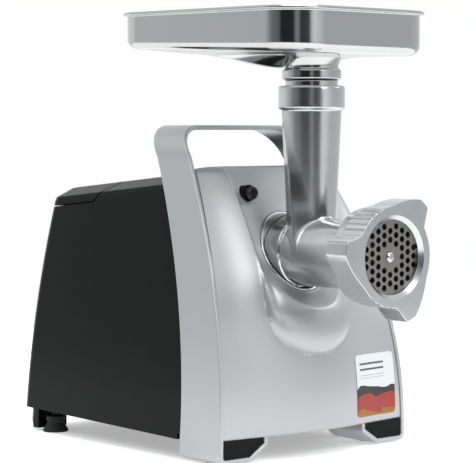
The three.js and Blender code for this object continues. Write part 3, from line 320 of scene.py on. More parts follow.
def block(name, outline, y0, y1, rounding=0.6):
    """An outline of (x, z) points drawn out along y, with its edges rounded."""
    outline = np.asarray(outline, float)
    rings = [np.stack([outline[:, 0], np.full(len(outline), y), outline[:, 1]], 1) for y in (y0, y1)]
    piece = loft(name, rings)
    soften(piece, rounding)
    return piece


def soften(piece, width, angle=35, segments=3):
    """Rounds the sharp edges of a piece."""
    bevel = piece.modifiers.new("soften", "BEVEL")
    bevel.width = width * MM
    bevel.segments = segments
    bevel.limit_method = "ANGLE"
    bevel.angle_limit = math.radians(angle)
    return settled(piece)


def field_skin(name, field, low, high, cell):
    """The surface where field(x, y, z) is zero, as quads settled onto it; field is negative inside."""
    axes = [np.arange(a, b + cell, cell) for a, b in zip(low, high)]
    values = np.stack([field(x, *np.meshgrid(axes[1], axes[2], indexing="ij")) for x in axes[0]])
    inside = values < 0
    nx, ny, nz = values.shape
    offsets = [(i, j, k) for i in (0, 1) for j in (0, 1) for k in (0, 1)]

    def corner(grid, i, j, k):
        return grid[i : nx - 1 + i, j : ny - 1 + j, k : nz - 1 + k]

    filled = sum(corner(inside, *o).astype(np.int8) for o in offsets)
    active = (filled > 0) & (filled < 8)
    number = np.full(active.shape, -1, np.int64)
    number[active] = np.arange(active.sum())
    cells = np.argwhere(active)
    total = np.zeros((len(cells), 3))
    crossings = np.zeros(len(cells))
    for a in offsets:
        for axis in range(3):
            if a[axis]:
                continue
            b = tuple(1 if n == axis else a[n] for n in range(3))
            at_a = values[tuple((cells + a).T)]
            at_b = values[tuple((cells + b).T)]
            crossing = (at_a < 0) != (at_b < 0)
            share = np.where(crossing, at_a / np.where(crossing, at_a - at_b, 1), 0)
            spot = np.tile(np.array(a, float), (len(cells), 1))
            spot[:, axis] += share
            total[crossing] += spot[crossing]
            crossings[crossing] += 1
    points = np.array(low) + (cells + total / crossings[:, None]) * cell
    faces = []
    for axis in range(3):
        p, q = (axis + 1) % 3, (axis + 2) % 3
        first = [slice(None)] * 3
        second = [slice(None)] * 3
        first[axis], second[axis] = slice(0, -1), slice(1, None)
        change = inside[tuple(first)] != inside[tuple(second)]
        starts = np.argwhere(change)
        keep = (starts[:, p] > 0) & (starts[:, q] > 0)
        keep &= (starts[:, p] < active.shape[p]) & (starts[:, q] < active.shape[q])
        starts = starts[keep]
        shift_p, shift_q = np.eye(3, dtype=int)[p], np.eye(3, dtype=int)[q]
        loop = [starts, starts - shift_p, starts - shift_p - shift_q, starts - shift_q]
        quads = np.stack([number[tuple(c.T)] for c in loop], 1)
        leaving = inside[tuple(starts.T)]
        quads[~leaving] = quads[~leaving][:, ::-1]
        faces.append(quads)
    nudge = 0.05
    for _ in range(3):
        here = field(*points.T)
        slope = np.stack(
            [field(*(points + nudge * unit).T) - field(*(points - nudge * unit).T) for unit in np.eye(3)], 1
        ) / (2 * nudge)
        size = np.maximum((slope**2).sum(1), 0.3)
        step = -here[:, None] * slope / size[:, None]
        length = np.linalg.norm(step, axis=1, keepdims=True)
        points = points + step * np.minimum(1, 0.4 * cell / np.maximum(length, 1e-9))
    return made(name, points, np.concatenate(faces))


def outline_distance(a, b, corners, rounding=0.0):
    """Signed distance from (a, b) to a closed outline, negative inside."""
    corners = np.asarray(corners, float)
    nearest = np.full(np.shape(a), 1e9)
    within = np.zeros(np.shape(a), bool)
    for (x0, y0), (x1, y1) in zip(corners, np.roll(corners, -1, axis=0)):
        dx, dy = x1 - x0, y1 - y0
        share = np.clip(((a - x0) * dx + (b - y0) * dy) / (dx * dx + dy * dy + 1e-12), 0, 1)
        nearest = np.minimum(nearest, (a - x0 - share * dx) ** 2 + (b - y0 - share * dy) ** 2)
        if dy:
            within ^= ((y0 > b) != (y1 > b)) & (a < dx * (b - y0) / dy + x0)
    return np.where(within, -1.0, 1.0) * np.sqrt(nearest) - rounding


def blended(first, second, width):
    """The union of two fields with a fillet of about that width."""
    share = np.clip(0.5 + 0.5 * (second - first) / width, 0, 1)
    return second + (first - second) * share - width * share * (1 - share)


def without(first, second, width=0.8):
    """The first field with the second cut out of it, its edge rounded."""
    return -blended(-first, second, width)


# ---------------------------------------------------------------- materials


def shade(code):
    """An sRGB hex colour as linear values."""
    parts = [int(code[i : i + 2], 16) / 255 for i in (1, 3, 5)]
    linear = [c / 12.92 if c <= 0.04045 else ((c + 0.055) / 1.055) ** 2.4 for c in parts]
    return (*linear, 1.0)


def node(tree, kind, inputs=None, **settings):
    """Adds a node with its settings; an input that is a socket is linked, and any other is set."""
    new = tree.nodes.new(kind)
    for key, value in settings.items():
        setattr(new, key, value)
    for key, value in (inputs or {}).items():
        if isinstance(value, bpy.types.NodeSocket):
            tree.links.new(value, new.inputs[key])
        else:
            new.inputs[key].default_value = value
    return new


def new_material(name, colour, metallic, roughness, **sockets):
    material = bpy.data.materials.new(name)
    material.use_nodes = True
    tree = material.node_tree
    shader = tree.nodes["Principled BSDF"]
    shader.inputs["Base Color"].default_value = shade(colour)
    shader.inputs["Metallic"].default_value = metallic
    shader.inputs["Roughness"].default_value = roughness
    for key, value in sockets.items():
        shader.inputs[key.replace("_", " ")].default_value = value
    place = node(tree, "ShaderNodeTexCoord").outputs["Object"]
    return material, tree, shader, place


def per(size_mm):
    """Texture scale that makes a pattern's feature that many millimetres."""
    return 1 / (size_mm * MM)


def mottled(tree, shader, place, size, dark, light, detail=3.0):
    """Base colour that wanders between two tones in patches of a given size."""
    noise = node(tree, "ShaderNodeTexNoise", {"Vector": place, "Scale": per(size), "Detail": detail})
    mix = node(
        tree,
        "ShaderNodeMix",
        {"Factor": noise.outputs["Fac"], "A": shade(dark), "B": shade(light)},
        data_type="RGBA",
    )
    tree.links.new(mix.outputs["Result"], shader.inputs["Base Color"])
    return noise


def ranged(tree, shader, socket, value, low, high):
    """Drives a shader input between two numbers."""
    spread = node(tree, "ShaderNodeMapRange", {"Value": value, "To Min": low, "To Max": high})
    tree.links.new(spread.outputs["Result"], shader.inputs[socket])


def bumped(tree, shader, height, depth_mm, strength=0.5):
    bump = node(tree, "ShaderNodeBump", {"Height": height, "Distance": depth_mm * MM, "Strength": strength})
    tree.links.new(bump.outputs["Normal"], shader.inputs["Normal"])


def silver_lacquer():
    """Satin silver lacquer on moulded ABS: fine aluminium flake under a thin clear coat."""
    material, tree, shader, place = new_material(
        "satin_silver_lacquer", "#B6B8B9", 0.62, 0.36, Coat_Weight=0.25, Coat_Roughness=0.25
    )
    flake = mottled(tree, shader, place, 0.35, "#A6A8A9", "#B8BABB", 2.0)
    ranged(tree, shader, "Roughness", flake.outputs["Fac"], 0.33, 0.42)
    bumped(tree, shader, flake.outputs["Fac"], 0.02, 0.25)
    return material


def black_abs():
    """Black ABS moulded in a spark-eroded tool: an even, fine leathery grain with a soft sheen."""
    material, tree, shader, place = new_material(
        "black_textured_abs", "#0D0E0E", 0.0, 0.5, Specular_IOR_Level=0.1
    )
    grain = node(tree, "ShaderNodeTexVoronoi", {"Vector": place, "Scale": per(0.7)})
    cloud = mottled(tree, shader, place, 9.0, "#0A0B0B", "#0F1010")
    ranged(tree, shader, "Roughness", cloud.outputs["Fac"], 0.27, 0.36)
    bumped(tree, shader, grain.outputs["Distance"], 0.05, 0.35)
    return material


def grey_abs():
    """Dark grey ABS, moulded smoother than the housing."""
    material, tree, shader, place = new_material(
        "dark_grey_abs", "#2E3033", 0.0, 0.45, Specular_IOR_Level=0.3
    )
    grain = mottled(tree, shader, place, 0.9, "#202225", "#292B2E")
    bumped(tree, shader, grain.outputs["Fac"], 0.03, 0.3)
    return material


def polished_stainless():
    """Pressed stainless steel sheet, polished: clear reflections with faint drawing marks."""
    material, tree, shader, place = new_material("polished_stainless_steel", "#B9BAB9", 1.0, 0.13)
    stretch = node(tree, "ShaderNodeMapping", {"Vector": place, "Scale": (1.0, 1.0, 0.06)})
    marks = node(
        tree, "ShaderNodeTexNoise", {"Vector": stretch.outputs["Vector"], "Scale": per(0.5), "Detail": 4.0}
    )
    waves = node(tree, "ShaderNodeTexNoise", {"Vector": place, "Scale": per(45), "Detail": 1.0})
    ranged(tree, shader, "Roughness", marks.outputs["Fac"], 0.09, 0.18)
    bumped(tree, shader, waves.outputs["Fac"], 0.5, 0.12)
    return material


def cast_aluminium():
    """Die-cast aluminium, tumbled and polished: bright with a slightly uneven skin."""
    material, tree, shader, place = new_material("polished_cast_aluminium", "#BFC1C2", 1.0, 0.22)
    skin = mottled(tree, shader, place, 14.0, "#B7B9BA", "#C7C9CA", 4.0)
    fine = node(tree, "ShaderNodeTexNoise", {"Vector": place, "Scale": per(1.2), "Detail": 3.0})
    ranged(tree, shader, "Roughness", fine.outputs["Fac"], 0.17, 0.29)
    bumped(tree, shader, skin.outputs["Fac"], 0.4, 0.10)
    return material


def ground_steel():
    """Ground tool steel: warm grey with turning marks too fine to count, drawn at 0.6 mm."""
    material, tree, shader, place = new_material("ground_tool_steel", "#908A86", 1.0, 0.36)
    marks = node(tree, "ShaderNodeTexNoise", {"Vector": place, "Scale": per(0.6), "Detail": 2.0})
    mottled(tree, shader, place, 6.0, "#787674", "#888583")
    ranged(tree, shader, "Roughness", marks.outputs["Fac"], 0.3, 0.46)
    bumped(tree, shader, marks.outputs["Fac"], 0.03, 0.3)
    return material


def soft_rubber():
    """Moulded nitrile rubber: matt black with a dusty bloom."""
    material, tree, shader, place = new_material("moulded_rubber", "#191A1B", 0.0, 0.8)
    bloom = mottled(tree, shader, place, 3.0, "#161718", "#212223")
    bumped(tree, shader, bloom.outputs["Fac"], 0.05, 0.3)
    return material


def gloss_black():
    """Black ABS from a polished tool, for the button: a clear highlight."""
    material, tree, shader, place = new_material("gloss_black_abs", "#151617", 0.0, 0.22, IOR=1.54)
    wear = mottled(tree, shader, place, 2.0, "#131415", "#1B1C1D")
    ranged(tree, shader, "Roughness", wear.outputs["Fac"], 0.18, 0.3)
    return material


def nylon():
    """Natural nylon gear stock: creamy and waxy."""
    material, tree, shader, place = new_material(
        "natural_nylon", "#D9D4C6", 0.0, 0.42, Subsurface_Weight=0.1, Subsurface_Scale=0.002
    )
    cloud = mottled(tree, shader, place, 5.0, "#D3CDBE", "#E0DBCD")
    bumped(tree, shader, cloud.outputs["Fac"], 0.05, 0.2)
    return material


def enamelled_copper():
    """Copper winding wire in clear enamel: 0.8 mm turns side by side."""
    material, tree, shader, place = new_material("enamelled_copper", "#A5552C", 1.0, 0.3)
    turns = node(tree, "ShaderNodeTexWave", {"Vector": place, "Scale": per(16)}, bands_direction="Y")
    ranged(tree, shader, "Roughness", turns.outputs["Fac"], 0.22, 0.4)
    bumped(tree, shader, turns.outputs["Fac"], 0.3, 0.8)
    return material


def laminated_steel():
    """Stacked electrical steel: 0.5 mm sheets, drawn at 1 mm so that they show."""
    material, tree, shader, place = new_material("laminated_electrical_steel", "#6D7076", 1.0, 0.45)
    sheets = node(tree, "ShaderNodeTexWave", {"Vector": place, "Scale": per(20)}, bands_direction="Y")
    ranged(tree, shader, "Roughness", sheets.outputs["Fac"], 0.38, 0.55)
    bumped(tree, shader, sheets.outputs["Fac"], 0.2, 0.6)
    return material


def epoxy_board():
    """Glass-epoxy circuit board under green solder resist."""
    material, tree, shader, place = new_material("glass_epoxy_board", "#2C5A38", 0.0, 0.4)
    mottled(tree, shader, place, 2.5, "#27512F", "#336642")
    return material


def printed_label():
    """Satin paper sticker printed with plain bands, and no lettering."""
    material, tree, shader, place = new_material("printed_paper_label", "#EFEFEB", 0.0, 0.5)
    split = node(tree, "ShaderNodeSeparateXYZ", {"Vector": place})
    label_low, label_high = span("label_plate")
    height, across = (
        node(
            tree,
            "ShaderNodeMapRange",
            {"Value": split.outputs[axis], "From Min": label_low[n] * MM, "From Max": label_high[n] * MM},
        ).outputs["Result"]
        for axis, n in (("Z", 2), ("X", 0))
    )
    hills = node(tree, "ShaderNodeTexNoise", {"Vector": place, "Scale": per(22), "Detail": 1.0})
    sway = node(
        tree,
        "ShaderNodeMapRange",
        {"Value": height, "From Min": 0.5, "From Max": 0.56, "To Min": 0.55, "To Max": 0},
    )
    centred = node(tree, "ShaderNodeMath", {0: hills.outputs["Fac"], 1: 0.5}, operation="SUBTRACT")
    moved = node(
        tree,
        "ShaderNodeMath",
        {0: centred.outputs[0], 1: sway.outputs["Result"], 2: height},
        operation="MULTIPLY_ADD",
    ).outputs[0]
    # Lines of print stop short of the label's sides.
    beside = node(tree, "ShaderNodeMath", {0: across, 1: 0.42, 2: 0.32}, operation="COMPARE").outputs[0]
    blank = node(tree, "ShaderNodeMath", {0: moved, 1: 0.56}, operation="MINIMUM").outputs[0]
    printed = node(tree, "ShaderNodeMix", {"Factor": beside, "A": blank, "B": moved})
    ramp = node(tree, "ShaderNodeValToRGB", {"Fac": printed.outputs["Result"]})
    bands = ramp.color_ramp
    bands.interpolation = "CONSTANT"
    paper, ink, faint = "#CDD1D3", "#4A4C4E", "#A4A7A9"
    stops = [(0.0, "#96611F"), (0.10, "#93302A"), (0.30, "#262729"), (0.46, paper)]
    lines = [(0.61, 0.622, faint), (0.655, 0.667, faint), (0.74, 0.77, ink), (0.83, 0.86, ink)]
    for low, high, tone in lines:
        stops += [(low, tone), (high, paper)]
    for place_on, code in stops:
        stop = bands.elements.new(place_on)
        stop.color = shade(code)
    bands.elements.remove(bands.elements[0])
    tree.links.new(ramp.outputs["Color"], shader.inputs["Base Color"])
    return material


finishes = {
    "silver_paint": silver_lacquer(),
    "black_plastic": black_abs(),
    "grey_plastic": grey_abs(),
    "cast_aluminium": cast_aluminium(),
    "polished_steel": polished_stainless(),
    "tool_steel": ground_steel(),
    "rubber": soft_rubber(),
    "nylon": nylon(),
    "copper": enamelled_copper(),
    "laminated_steel": laminated_steel(),
    "circuit": epoxy_board(),
    "label_paper": printed_label(),
}
button_finish = gloss_black()

for row in frame["record"]["subparts"]:
    mesh = frame["nodes"][row["node"]].data
    mesh.materials.clear()
    mesh.materials.append(finishes[row["material_slot"]])


# ---------------------------------------------------------------- carry frame and feet


def frame_contour():
    """Half of the frame's outer contour, [x, z] from the right foot's inner wall to the top's middle."""
    edge = half_width
    foot = rounded_line(
        [
            (edge - foot_reach, foot_top, 0), (edge - foot_reach, foot_chamfer_top, 4.5),
            (edge - foot_run, sole, 4.5), (edge, sole, foot_corner), (edge, sole + 12, 0),
        ]
    )[:-1]
    shoulder = frame_top - shoulder_radius
    heights = np.linspace(sole + foot_corner + 2, shoulder, 48)
    leg = np.stack([side_at(heights), heights], 1)
    centre = side_at(shoulder) - shoulder_radius
    angles = np.linspace(0, math.pi / 2, 16)[1:]
    bend = np.stack(
        [centre + shoulder_radius * np.cos(angles), shoulder + shoulder_radius * np.sin(angles)], 1
    )
    flat = np.stack([np.linspace(centre, 0, 9)[1:], np.full(8, frame_top)], 1)
    return np.concatenate([foot, leg, bend, flat])


def inward_from(line):
    """Unit directions inwards from a contour that runs anticlockwise."""
    heading = np.gradient(line, axis=0)
    heading /= np.linalg.norm(heading, axis=1, keepdims=True)
    return np.stack([-heading[:, 1], heading[:, 0]], 1)


def carry_frame():
    """The band's round-edged section, carried along the contour and leant back with height."""
    half = frame_contour()
    whole = np.concatenate([half, (half * (-1, 1))[::-1][1:]])
    rings = []
    for (x, z), (ix, iz) in zip(whole, inward_from(whole)):
        front, width = float(lean_at(z)), band_at(z)
        section = rounded_ring(width / 2, band_thickness / 2, band_edge, 5)
        ring = [
            (x + ix * (v + band_thickness / 2), front + width / 2 + u, z + iz * (v + band_thickness / 2))
            for u, v in section
        ]
        rings.append(ring)
    return loft("silver_carry_frame", rings)


def frame_room(grow):
    """A block with the frame's outline inside and out, to cut the room that the band needs."""
    half = frame_contour()[::2]
    whole = np.concatenate([half, (half * (-1, 1))[::-1]])
    rings = []
    for (x, z), (ix, iz) in zip(whole, inward_from(whole)):
        front, rear = float(lean_at(z)) - grow, float(lean_at(z)) + band_at(z) + grow
        depth = band_thickness + grow
        out = grow + 3
        rings.append(
            [
                (x - ix * out, front, z - iz * out), (x - ix * out, rear, z - iz * out),
                (x + ix * depth, rear, z + iz * depth), (x + ix * depth, front, z + iz * depth),
            ]
        )
    return loft("frame_room", rings)


finished(carry_frame(), "silver_paint", "base_unit", "carry_frame")


def foot_insert(side, sign):
    """Black plug, set back a little in the foot."""
    fit = band_thickness + gap
    edge = half_width
    slope = math.atan2(foot_chamfer_top - sole, foot_reach - foot_run)
    corners = [
        (edge - foot_reach + fit, foot_top - gap, 0.01),
        (edge - foot_reach + fit, foot_chamfer_top + fit * math.tan((math.pi / 2 - slope) / 2), 1.5),
        (edge - foot_run + fit * math.tan(slope / 2), sole + fit, 1.5),
        (edge - fit, sole + fit, 2.0),
        (edge - fit - 0.5, foot_top - gap, 0.01),
    ]
    outline = rounded_line([corners[-1], *corners, corners[0]], 4)[1:-1] * (sign, 1)
    plug = block(f"foot_plug_{side}", outline, 1.5, band - 1.5, 0.7)
    finished(plug, "black_plastic", "base_unit", f"foot_insert_{side}")


for foot_side, foot_sign in (("left", -1), ("right", 1)):
    foot_insert(foot_side, foot_sign)
    foot_height = span(f"rear_foot_{foot_side}")[1][2]
    middle = middle_of(f"rear_foot_{foot_side}") * (1, 1, 0)
    profile = rounded_line(
        [
            (0, 0, 0), (7.5, 0, 0), (8.2, 0.7, 0.3), (10.4, 0, 0.3), (10.6, 1.4, 0.4), (6.6, 8, 1.0),
            (7.7, 9.2, 0.5), (7.7, 13, 0.6), (3, 13, 0.3), (3, foot_height, 0), (0, foot_height, 0),
        ],
        3,
    )
    cone = turned(f"suction_foot_{foot_side}", profile, middle, "z", 48)
    finished(cone, "rubber", "base_unit", f"rear_foot_{foot_side}")


# ---------------------------------------------------------------- fascia


def fascia_face(x, z):
    """How far back the front lies: bowed, with a recess above a dome that runs into the socket."""
    level = fascia_bulge + flush_depth
    bowed = lean_at(z) + level * np.tanh(fascia_bow * np.square(x) / level) - fascia_bulge
    outside = smooth(np.abs(x), recess_half, recess_half + recess_edge)
    from_edge = np.maximum(np.abs(x) - recess_half - recess_edge, 0) / ridge_width
    above_dome = smooth(z, dome_height - 27, dome_height + 38)
    ridge = ridge_rise * outside * np.exp(-np.square(from_edge)) * above_dome
    recess = recess_depth * (1 - outside) * smooth(z, dome_height, dome_height + 60)
    spread = np.square(x / dome_half_width) + np.square(np.minimum(z - dome_height, 0) / dome_half_height)
    fade = smooth(np.hypot(x, z - auger_height), socket_radius, socket_radius + 13)
    fade = fade * (1 - smooth(z, dome_height, dome_height + 50))
    dome = dome_rise * fade * np.sqrt(np.maximum(1 - spread, 0))
    return bowed + recess - ridge - dome


def fascia_top(x):
    crown = top_at(lean_at(frame_top - 38)) + crown_rise
    return crown + fascia_lift - fascia_drop * smooth(np.abs(x), 50, 92)


def fascia_front(x, z):
    """The fascia's face with its top edge rolled back over a few millimetres."""
    near = np.clip((z - fascia_top(x) + 6) / 6, 0, 1)
    foot = np.clip((fascia_bottom + 1.5 - z) / 1.5, 0, 1)
    top_roll = 4 * (1 - np.sqrt(1 - 0.96 * near**2))
    foot_roll = 1.2 * (1 - np.sqrt(1 - 0.96 * foot**2))
    return fascia_face(x, z) + top_roll + foot_roll


def fascia_place(u, v):
    reach = side_at(fascia_bottom) - band_thickness - gap
    t = 2 * u - 1
    z = fascia_bottom + v * (fascia_top(t * reach * 0.75) - fascia_bottom)
    return t * (side_at(z) - band_thickness - gap), z


def between(name, across, up, place, front, back):
    """A closed sheet between two surfaces y = front(x, z) and y = back(x, z)."""
    u, v = np.meshgrid(np.linspace(0, 1, across + 1), np.linspace(0, 1, up + 1))
    x, z = place(u, v)
    rings = []
    for j in range(up + 1):
        front_row = np.stack([x[j], front(x[j], z[j]) + 0 * x[j], z[j]], 1)
        back_row = np.stack([x[j], back(x[j], z[j]) + 0 * x[j], z[j]], 1)[::-1]
        rings.append(np.concatenate([front_row, back_row]))
    around = 2 * (across + 1)
    faces = []
    for j in range(up):
        for i in range(around):
            k = (i + 1) % around
            faces.append((j * around + i, j * around + k, (j + 1) * around + k, (j + 1) * around + i))
    for row in (0, up * around):
        for i in range(across):
            faces.append((row + i, row + i + 1, row + around - 2 - i, row + around - 1 - i))
    return outward(made(name, np.concatenate(rings), faces))


def behind(face, distance):
    """The surface that lies a distance behind a face."""
    return lambda x, z: face(x, z) + distance


button_low, button_high = span("release_button")
button_x, _, button_z = middle_of("release_button")
button_base = float(fascia_face(button_x, button_z))
bezel_radius = 6.4
bezel_back = button_base - 1.8
button_at = (button_x, 0, button_z)
on_axis = (0, 0, auger_height)


def rod(name, radius, y0, y1, centre, sides=72):
    return turned(name, [(0, y0), (radius, y0), (radius, y1), (0, y1)], centre, "y", sides)


def front_fascia():
    inner = behind(fascia_front, fascia_wall)
    face = between("silver_front_fascia", 150, 170, fascia_place, fascia_front, inner)
    sleeve = rod("sleeve", socket_radius + gap + 2.4, -20, 46, on_axis)
    ahead = between("ahead", 60, 80, fascia_place, lambda x, z: -120, behind(fascia_face, 0.5))
    carved(sleeve, ahead)
    carved(face, sleeve, operation="UNION")
    opening = rod("opening", socket_radius + gap, -100, 70, on_axis)
    button_hole = rod("button_hole", bezel_radius - 0.5, 0, 90, button_at, 48)
    button_seat = rod("button_seat", bezel_radius + gap, 0, bezel_back + gap, button_at, 48)
    return carved(face, opening, button_hole, button_seat)


finished(front_fascia(), "silver_paint", "base_unit", "front_fascia")

# ---------------------------------------------------------------- housing and lid


def body_form(name, inset, drop=0.0):
    """The body's outer form, moved inwards by inset: plan sections from the base up to the crown."""
    front = -12.0
    low_rear = low_at(housing_rear)
    high_rear = top_at(housing_rear - 16)
    steps = [(share, 0.0, 0.0) for share in np.linspace(0, 0.985, 12)]
    crown = [(0, -12, 0), (0, 0, 2.5), (crown_run, crown_rise, 8), (crown_run + 16, crown_rise, 0)]
    edge = rounded_line(crown, 5)
    steps += [(1.0, narrower, rise) for narrower, rise in edge[1:]]
    rings = []
    for share, narrower, rise in steps:
        rear = rear_at(low_rear + share * (high_rear - low_rear)) - inset
        rounding = 3.0
        over = max(rise - (crown_rise - rounding), 0)
        rear -= rounding - math.sqrt(max(rounding**2 - over**2, 0))
        plan = rounded_ring(100, (rear - front) / 2, 12, 9)
        y = (rear + front) / 2 + plan[:, 1]
        low = low_at(y) - drop
        height = low + share * (top_at(y) - inset - low)
        side = side_at(height) - housing_inset - inset - narrower
        rings.append(np.stack([plan[:, 0] / 100 * side, y, height + rise], 1))
    return loft(name, rings)


def lid_region(grow):
    low = top_at(lid_seam_y) - lid_skirt - grow
    far = housing_rear + 20
    rise = 90.0
    outline = [
        (lid_seam_y - grow, low), (far, top_at(far) - lid_skirt - grow), (far, low + rise),
        (lid_seam_y - grow - rise * lid_slant, low + rise),
    ]
    rings = [[(x, y, z) for y, z in outline] for x in (-130, 130)]
    return loft("lid_region", rings)


def box(name, x0, x1, y0, y1, z0, z1):
    rings = [[(x0, y0, z), (x1, y0, z), (x1, y1, z), (x0, y1, z)] for z in (z0, z1)]
    return loft(name, rings)


def room_for_fascia():
    def place(u, v):
        x, z = fascia_place(u, v)
        return x * 1.05, z + 30 * (v - 0.5)

    return between(
        "fascia_room", 60, 60, place, lambda x, z: -120, lambda x, z: fascia_face(x, z) + fascia_wall + 0.4
    )


switch_z = middle_of("switch_bezel")[2]
gland_x, _, gland_z = middle_of("cord_gland")


def rear_housing():
    shell = body_form("black_rear_housing", 0)
    inside = body_form("inside", housing_wall, 30)
    switch_holes = []
    through_side = [(0, 60), (11.8, 60), (11.8, 120), (0, 120)]
    for button in ("power_button", "reverse_button"):
        at = (0, middle_of(button)[1], switch_z)
        switch_holes.append(turned("switch_hole", through_side, at, "x", 40))
    gland_hole = rod("gland_hole", 7.3, 200, 300, (gland_x, 0, gland_z), 40)
    foot_room = box("foot_room", -120, 120, -20, band + gap + 4, -10, foot_top + gap)
    carved(
        shell,
        inside,
        lid_region(lid_gap),
        frame_room(gap),
        room_for_fascia(),
        foot_room,
        gland_hole,
        *switch_holes,
    )
    return soften(shell, 0.35, 50, 2)


def accessory_lid():
    lid = body_form("black_accessory_lid", 0)
    carved(lid, body_form("inside", lid_wall, 30))
    carved(lid, lid_region(0), operation="INTERSECT")
    return soften(lid, 0.35, 50, 2)


finished(rear_housing(), "black_plastic", "base_unit", "rear_housing")
finished(accessory_lid(), "black_plastic", "accessory_lid", "accessory_lid")

# ---------------------------------------------------------------- socket, button and switches


def socket_ring():
    """Turned socket whose thin collar ends level with the leaning fascia."""
    front, back = 31.3, span("socket_ring")[1][1] - front_y
    bore, recess, flange = 24.3, 28.6, 38.5
    collar, flange_thickness = 12, 6
    profile = rounded_line(
        [
            (bore, back, 0), (bore, front, 0.5), (recess, front, 0.3), (recess, front - collar, 0.5),
            (socket_radius, front - collar, 0.7), (socket_radius, back - flange_thickness, 0.6),
            (flange, back - flange_thickness, 0.6), (flange, back, 0.6), (bore, back, 0),
        ],
        3,
    )
    ring = turned("socket_ring_turned", profile, on_axis, "y", 120)
    for point in ring.data.vertices:
        x, y, z = np.array(point.co) / MM
        depth = front - (y - front_y)
        if depth > 0.5:
            level = float(fascia_face(x, z)) - 0.6
            point.co.y = (front_y + front - (front - level) * depth / collar) * MM
    ring.data.update()
    return ring


finished(socket_ring(), "cast_aluminium", "base_unit", "socket_ring")


def button_parts():
    """The cap with a groove round its waist, and the collar that it slides in."""
    front, back = button_low[1] - front_y, button_high[1] - front_y
    radius, stem, stem_length = 5.1, 2.4, 6
    bore, bore_in_fascia, lip = 5.4, 5.8, 2.5
    cap = rounded_line(
        [
            (0, front, 0), (3.6, front + 0.25, 3.0), (radius, front + 0.7, 0.7), (radius, front + 2.6, 0.2),
            (4.8, front + 3.0, 0.2), (radius, front + 3.4, 0.2), (radius, back - stem_length, 0.3),
            (stem, back - stem_length, 0.2), (stem, back, 0), (0, back, 0),
        ],
        3,
    )
    knob = turned("release_button_cap", cap, button_at, "y", 48)
    finished(knob, "black_plastic", "release_button", "release_button", finish=button_finish)
    collar = rounded_line(
        [
            (bore, bezel_back + 8, 0), (bore, bezel_back - lip, 0.4), (bezel_radius, bezel_back - lip, 0.5),
            (bezel_radius, bezel_back, 0.2), (bore_in_fascia, bezel_back, 0.1),
            (bore_in_fascia, bezel_back + 8, 0.1), (bore, bezel_back + 8, 0),
        ],
        3,
    )
    bezel = turned("button_collar", collar, button_at, "y", 48)
    finished(bezel, "black_plastic", "base_unit", "button_bezel")


button_parts()

# ---------------------------------------------------------------- mincing head

cup_front = head_low[1] - front_y
spigot_back = head_high[1] - front_y
collar_top = head_high[2] - auger_height
flange_front = 27.0
flange_back = 31.0
barrel_radius = 26.5
cup_radius = 33.6
bore_radius = 23.4
neck_radius = 20.3
rim_radius = 28.0
rim_length = 13.0
spigot_radius = 24.0
spigot_bore_radius = 15.6
disc_bore_radius = 31.3
past_axis = -40.0
feed_low_radius = 18.6
feed_top_radius = 23.2
collar_bottom = collar_top - 18.2
collar_radius = 25.7
seat_depth = 14.0
auger_front = disc_high[1] - front_y + 7.1


def keeled(a, b, radius, keel_a, keel_b, edge):
    """Signed distance to a circle drawn out to a narrow edge at (keel_a, keel_b)."""
    reach = np.hypot(keel_a, keel_b)
    along = (a * keel_a + b * keel_b) / reach
    across = np.abs(a * keel_b - b * keel_a) / reach
    sine = np.clip((radius - edge) / np.maximum(reach, radius), 0, 0.999)
    cosine = np.sqrt(1 - sine * sine)
    tilt = across * -sine + along * cosine
    side = across * cosine + along * sine - radius
    hull = np.where(tilt > reach * cosine, np.hypot(across, along - reach) - edge, side)
    return np.where(tilt < 0, np.hypot(across, along) - radius, hull)


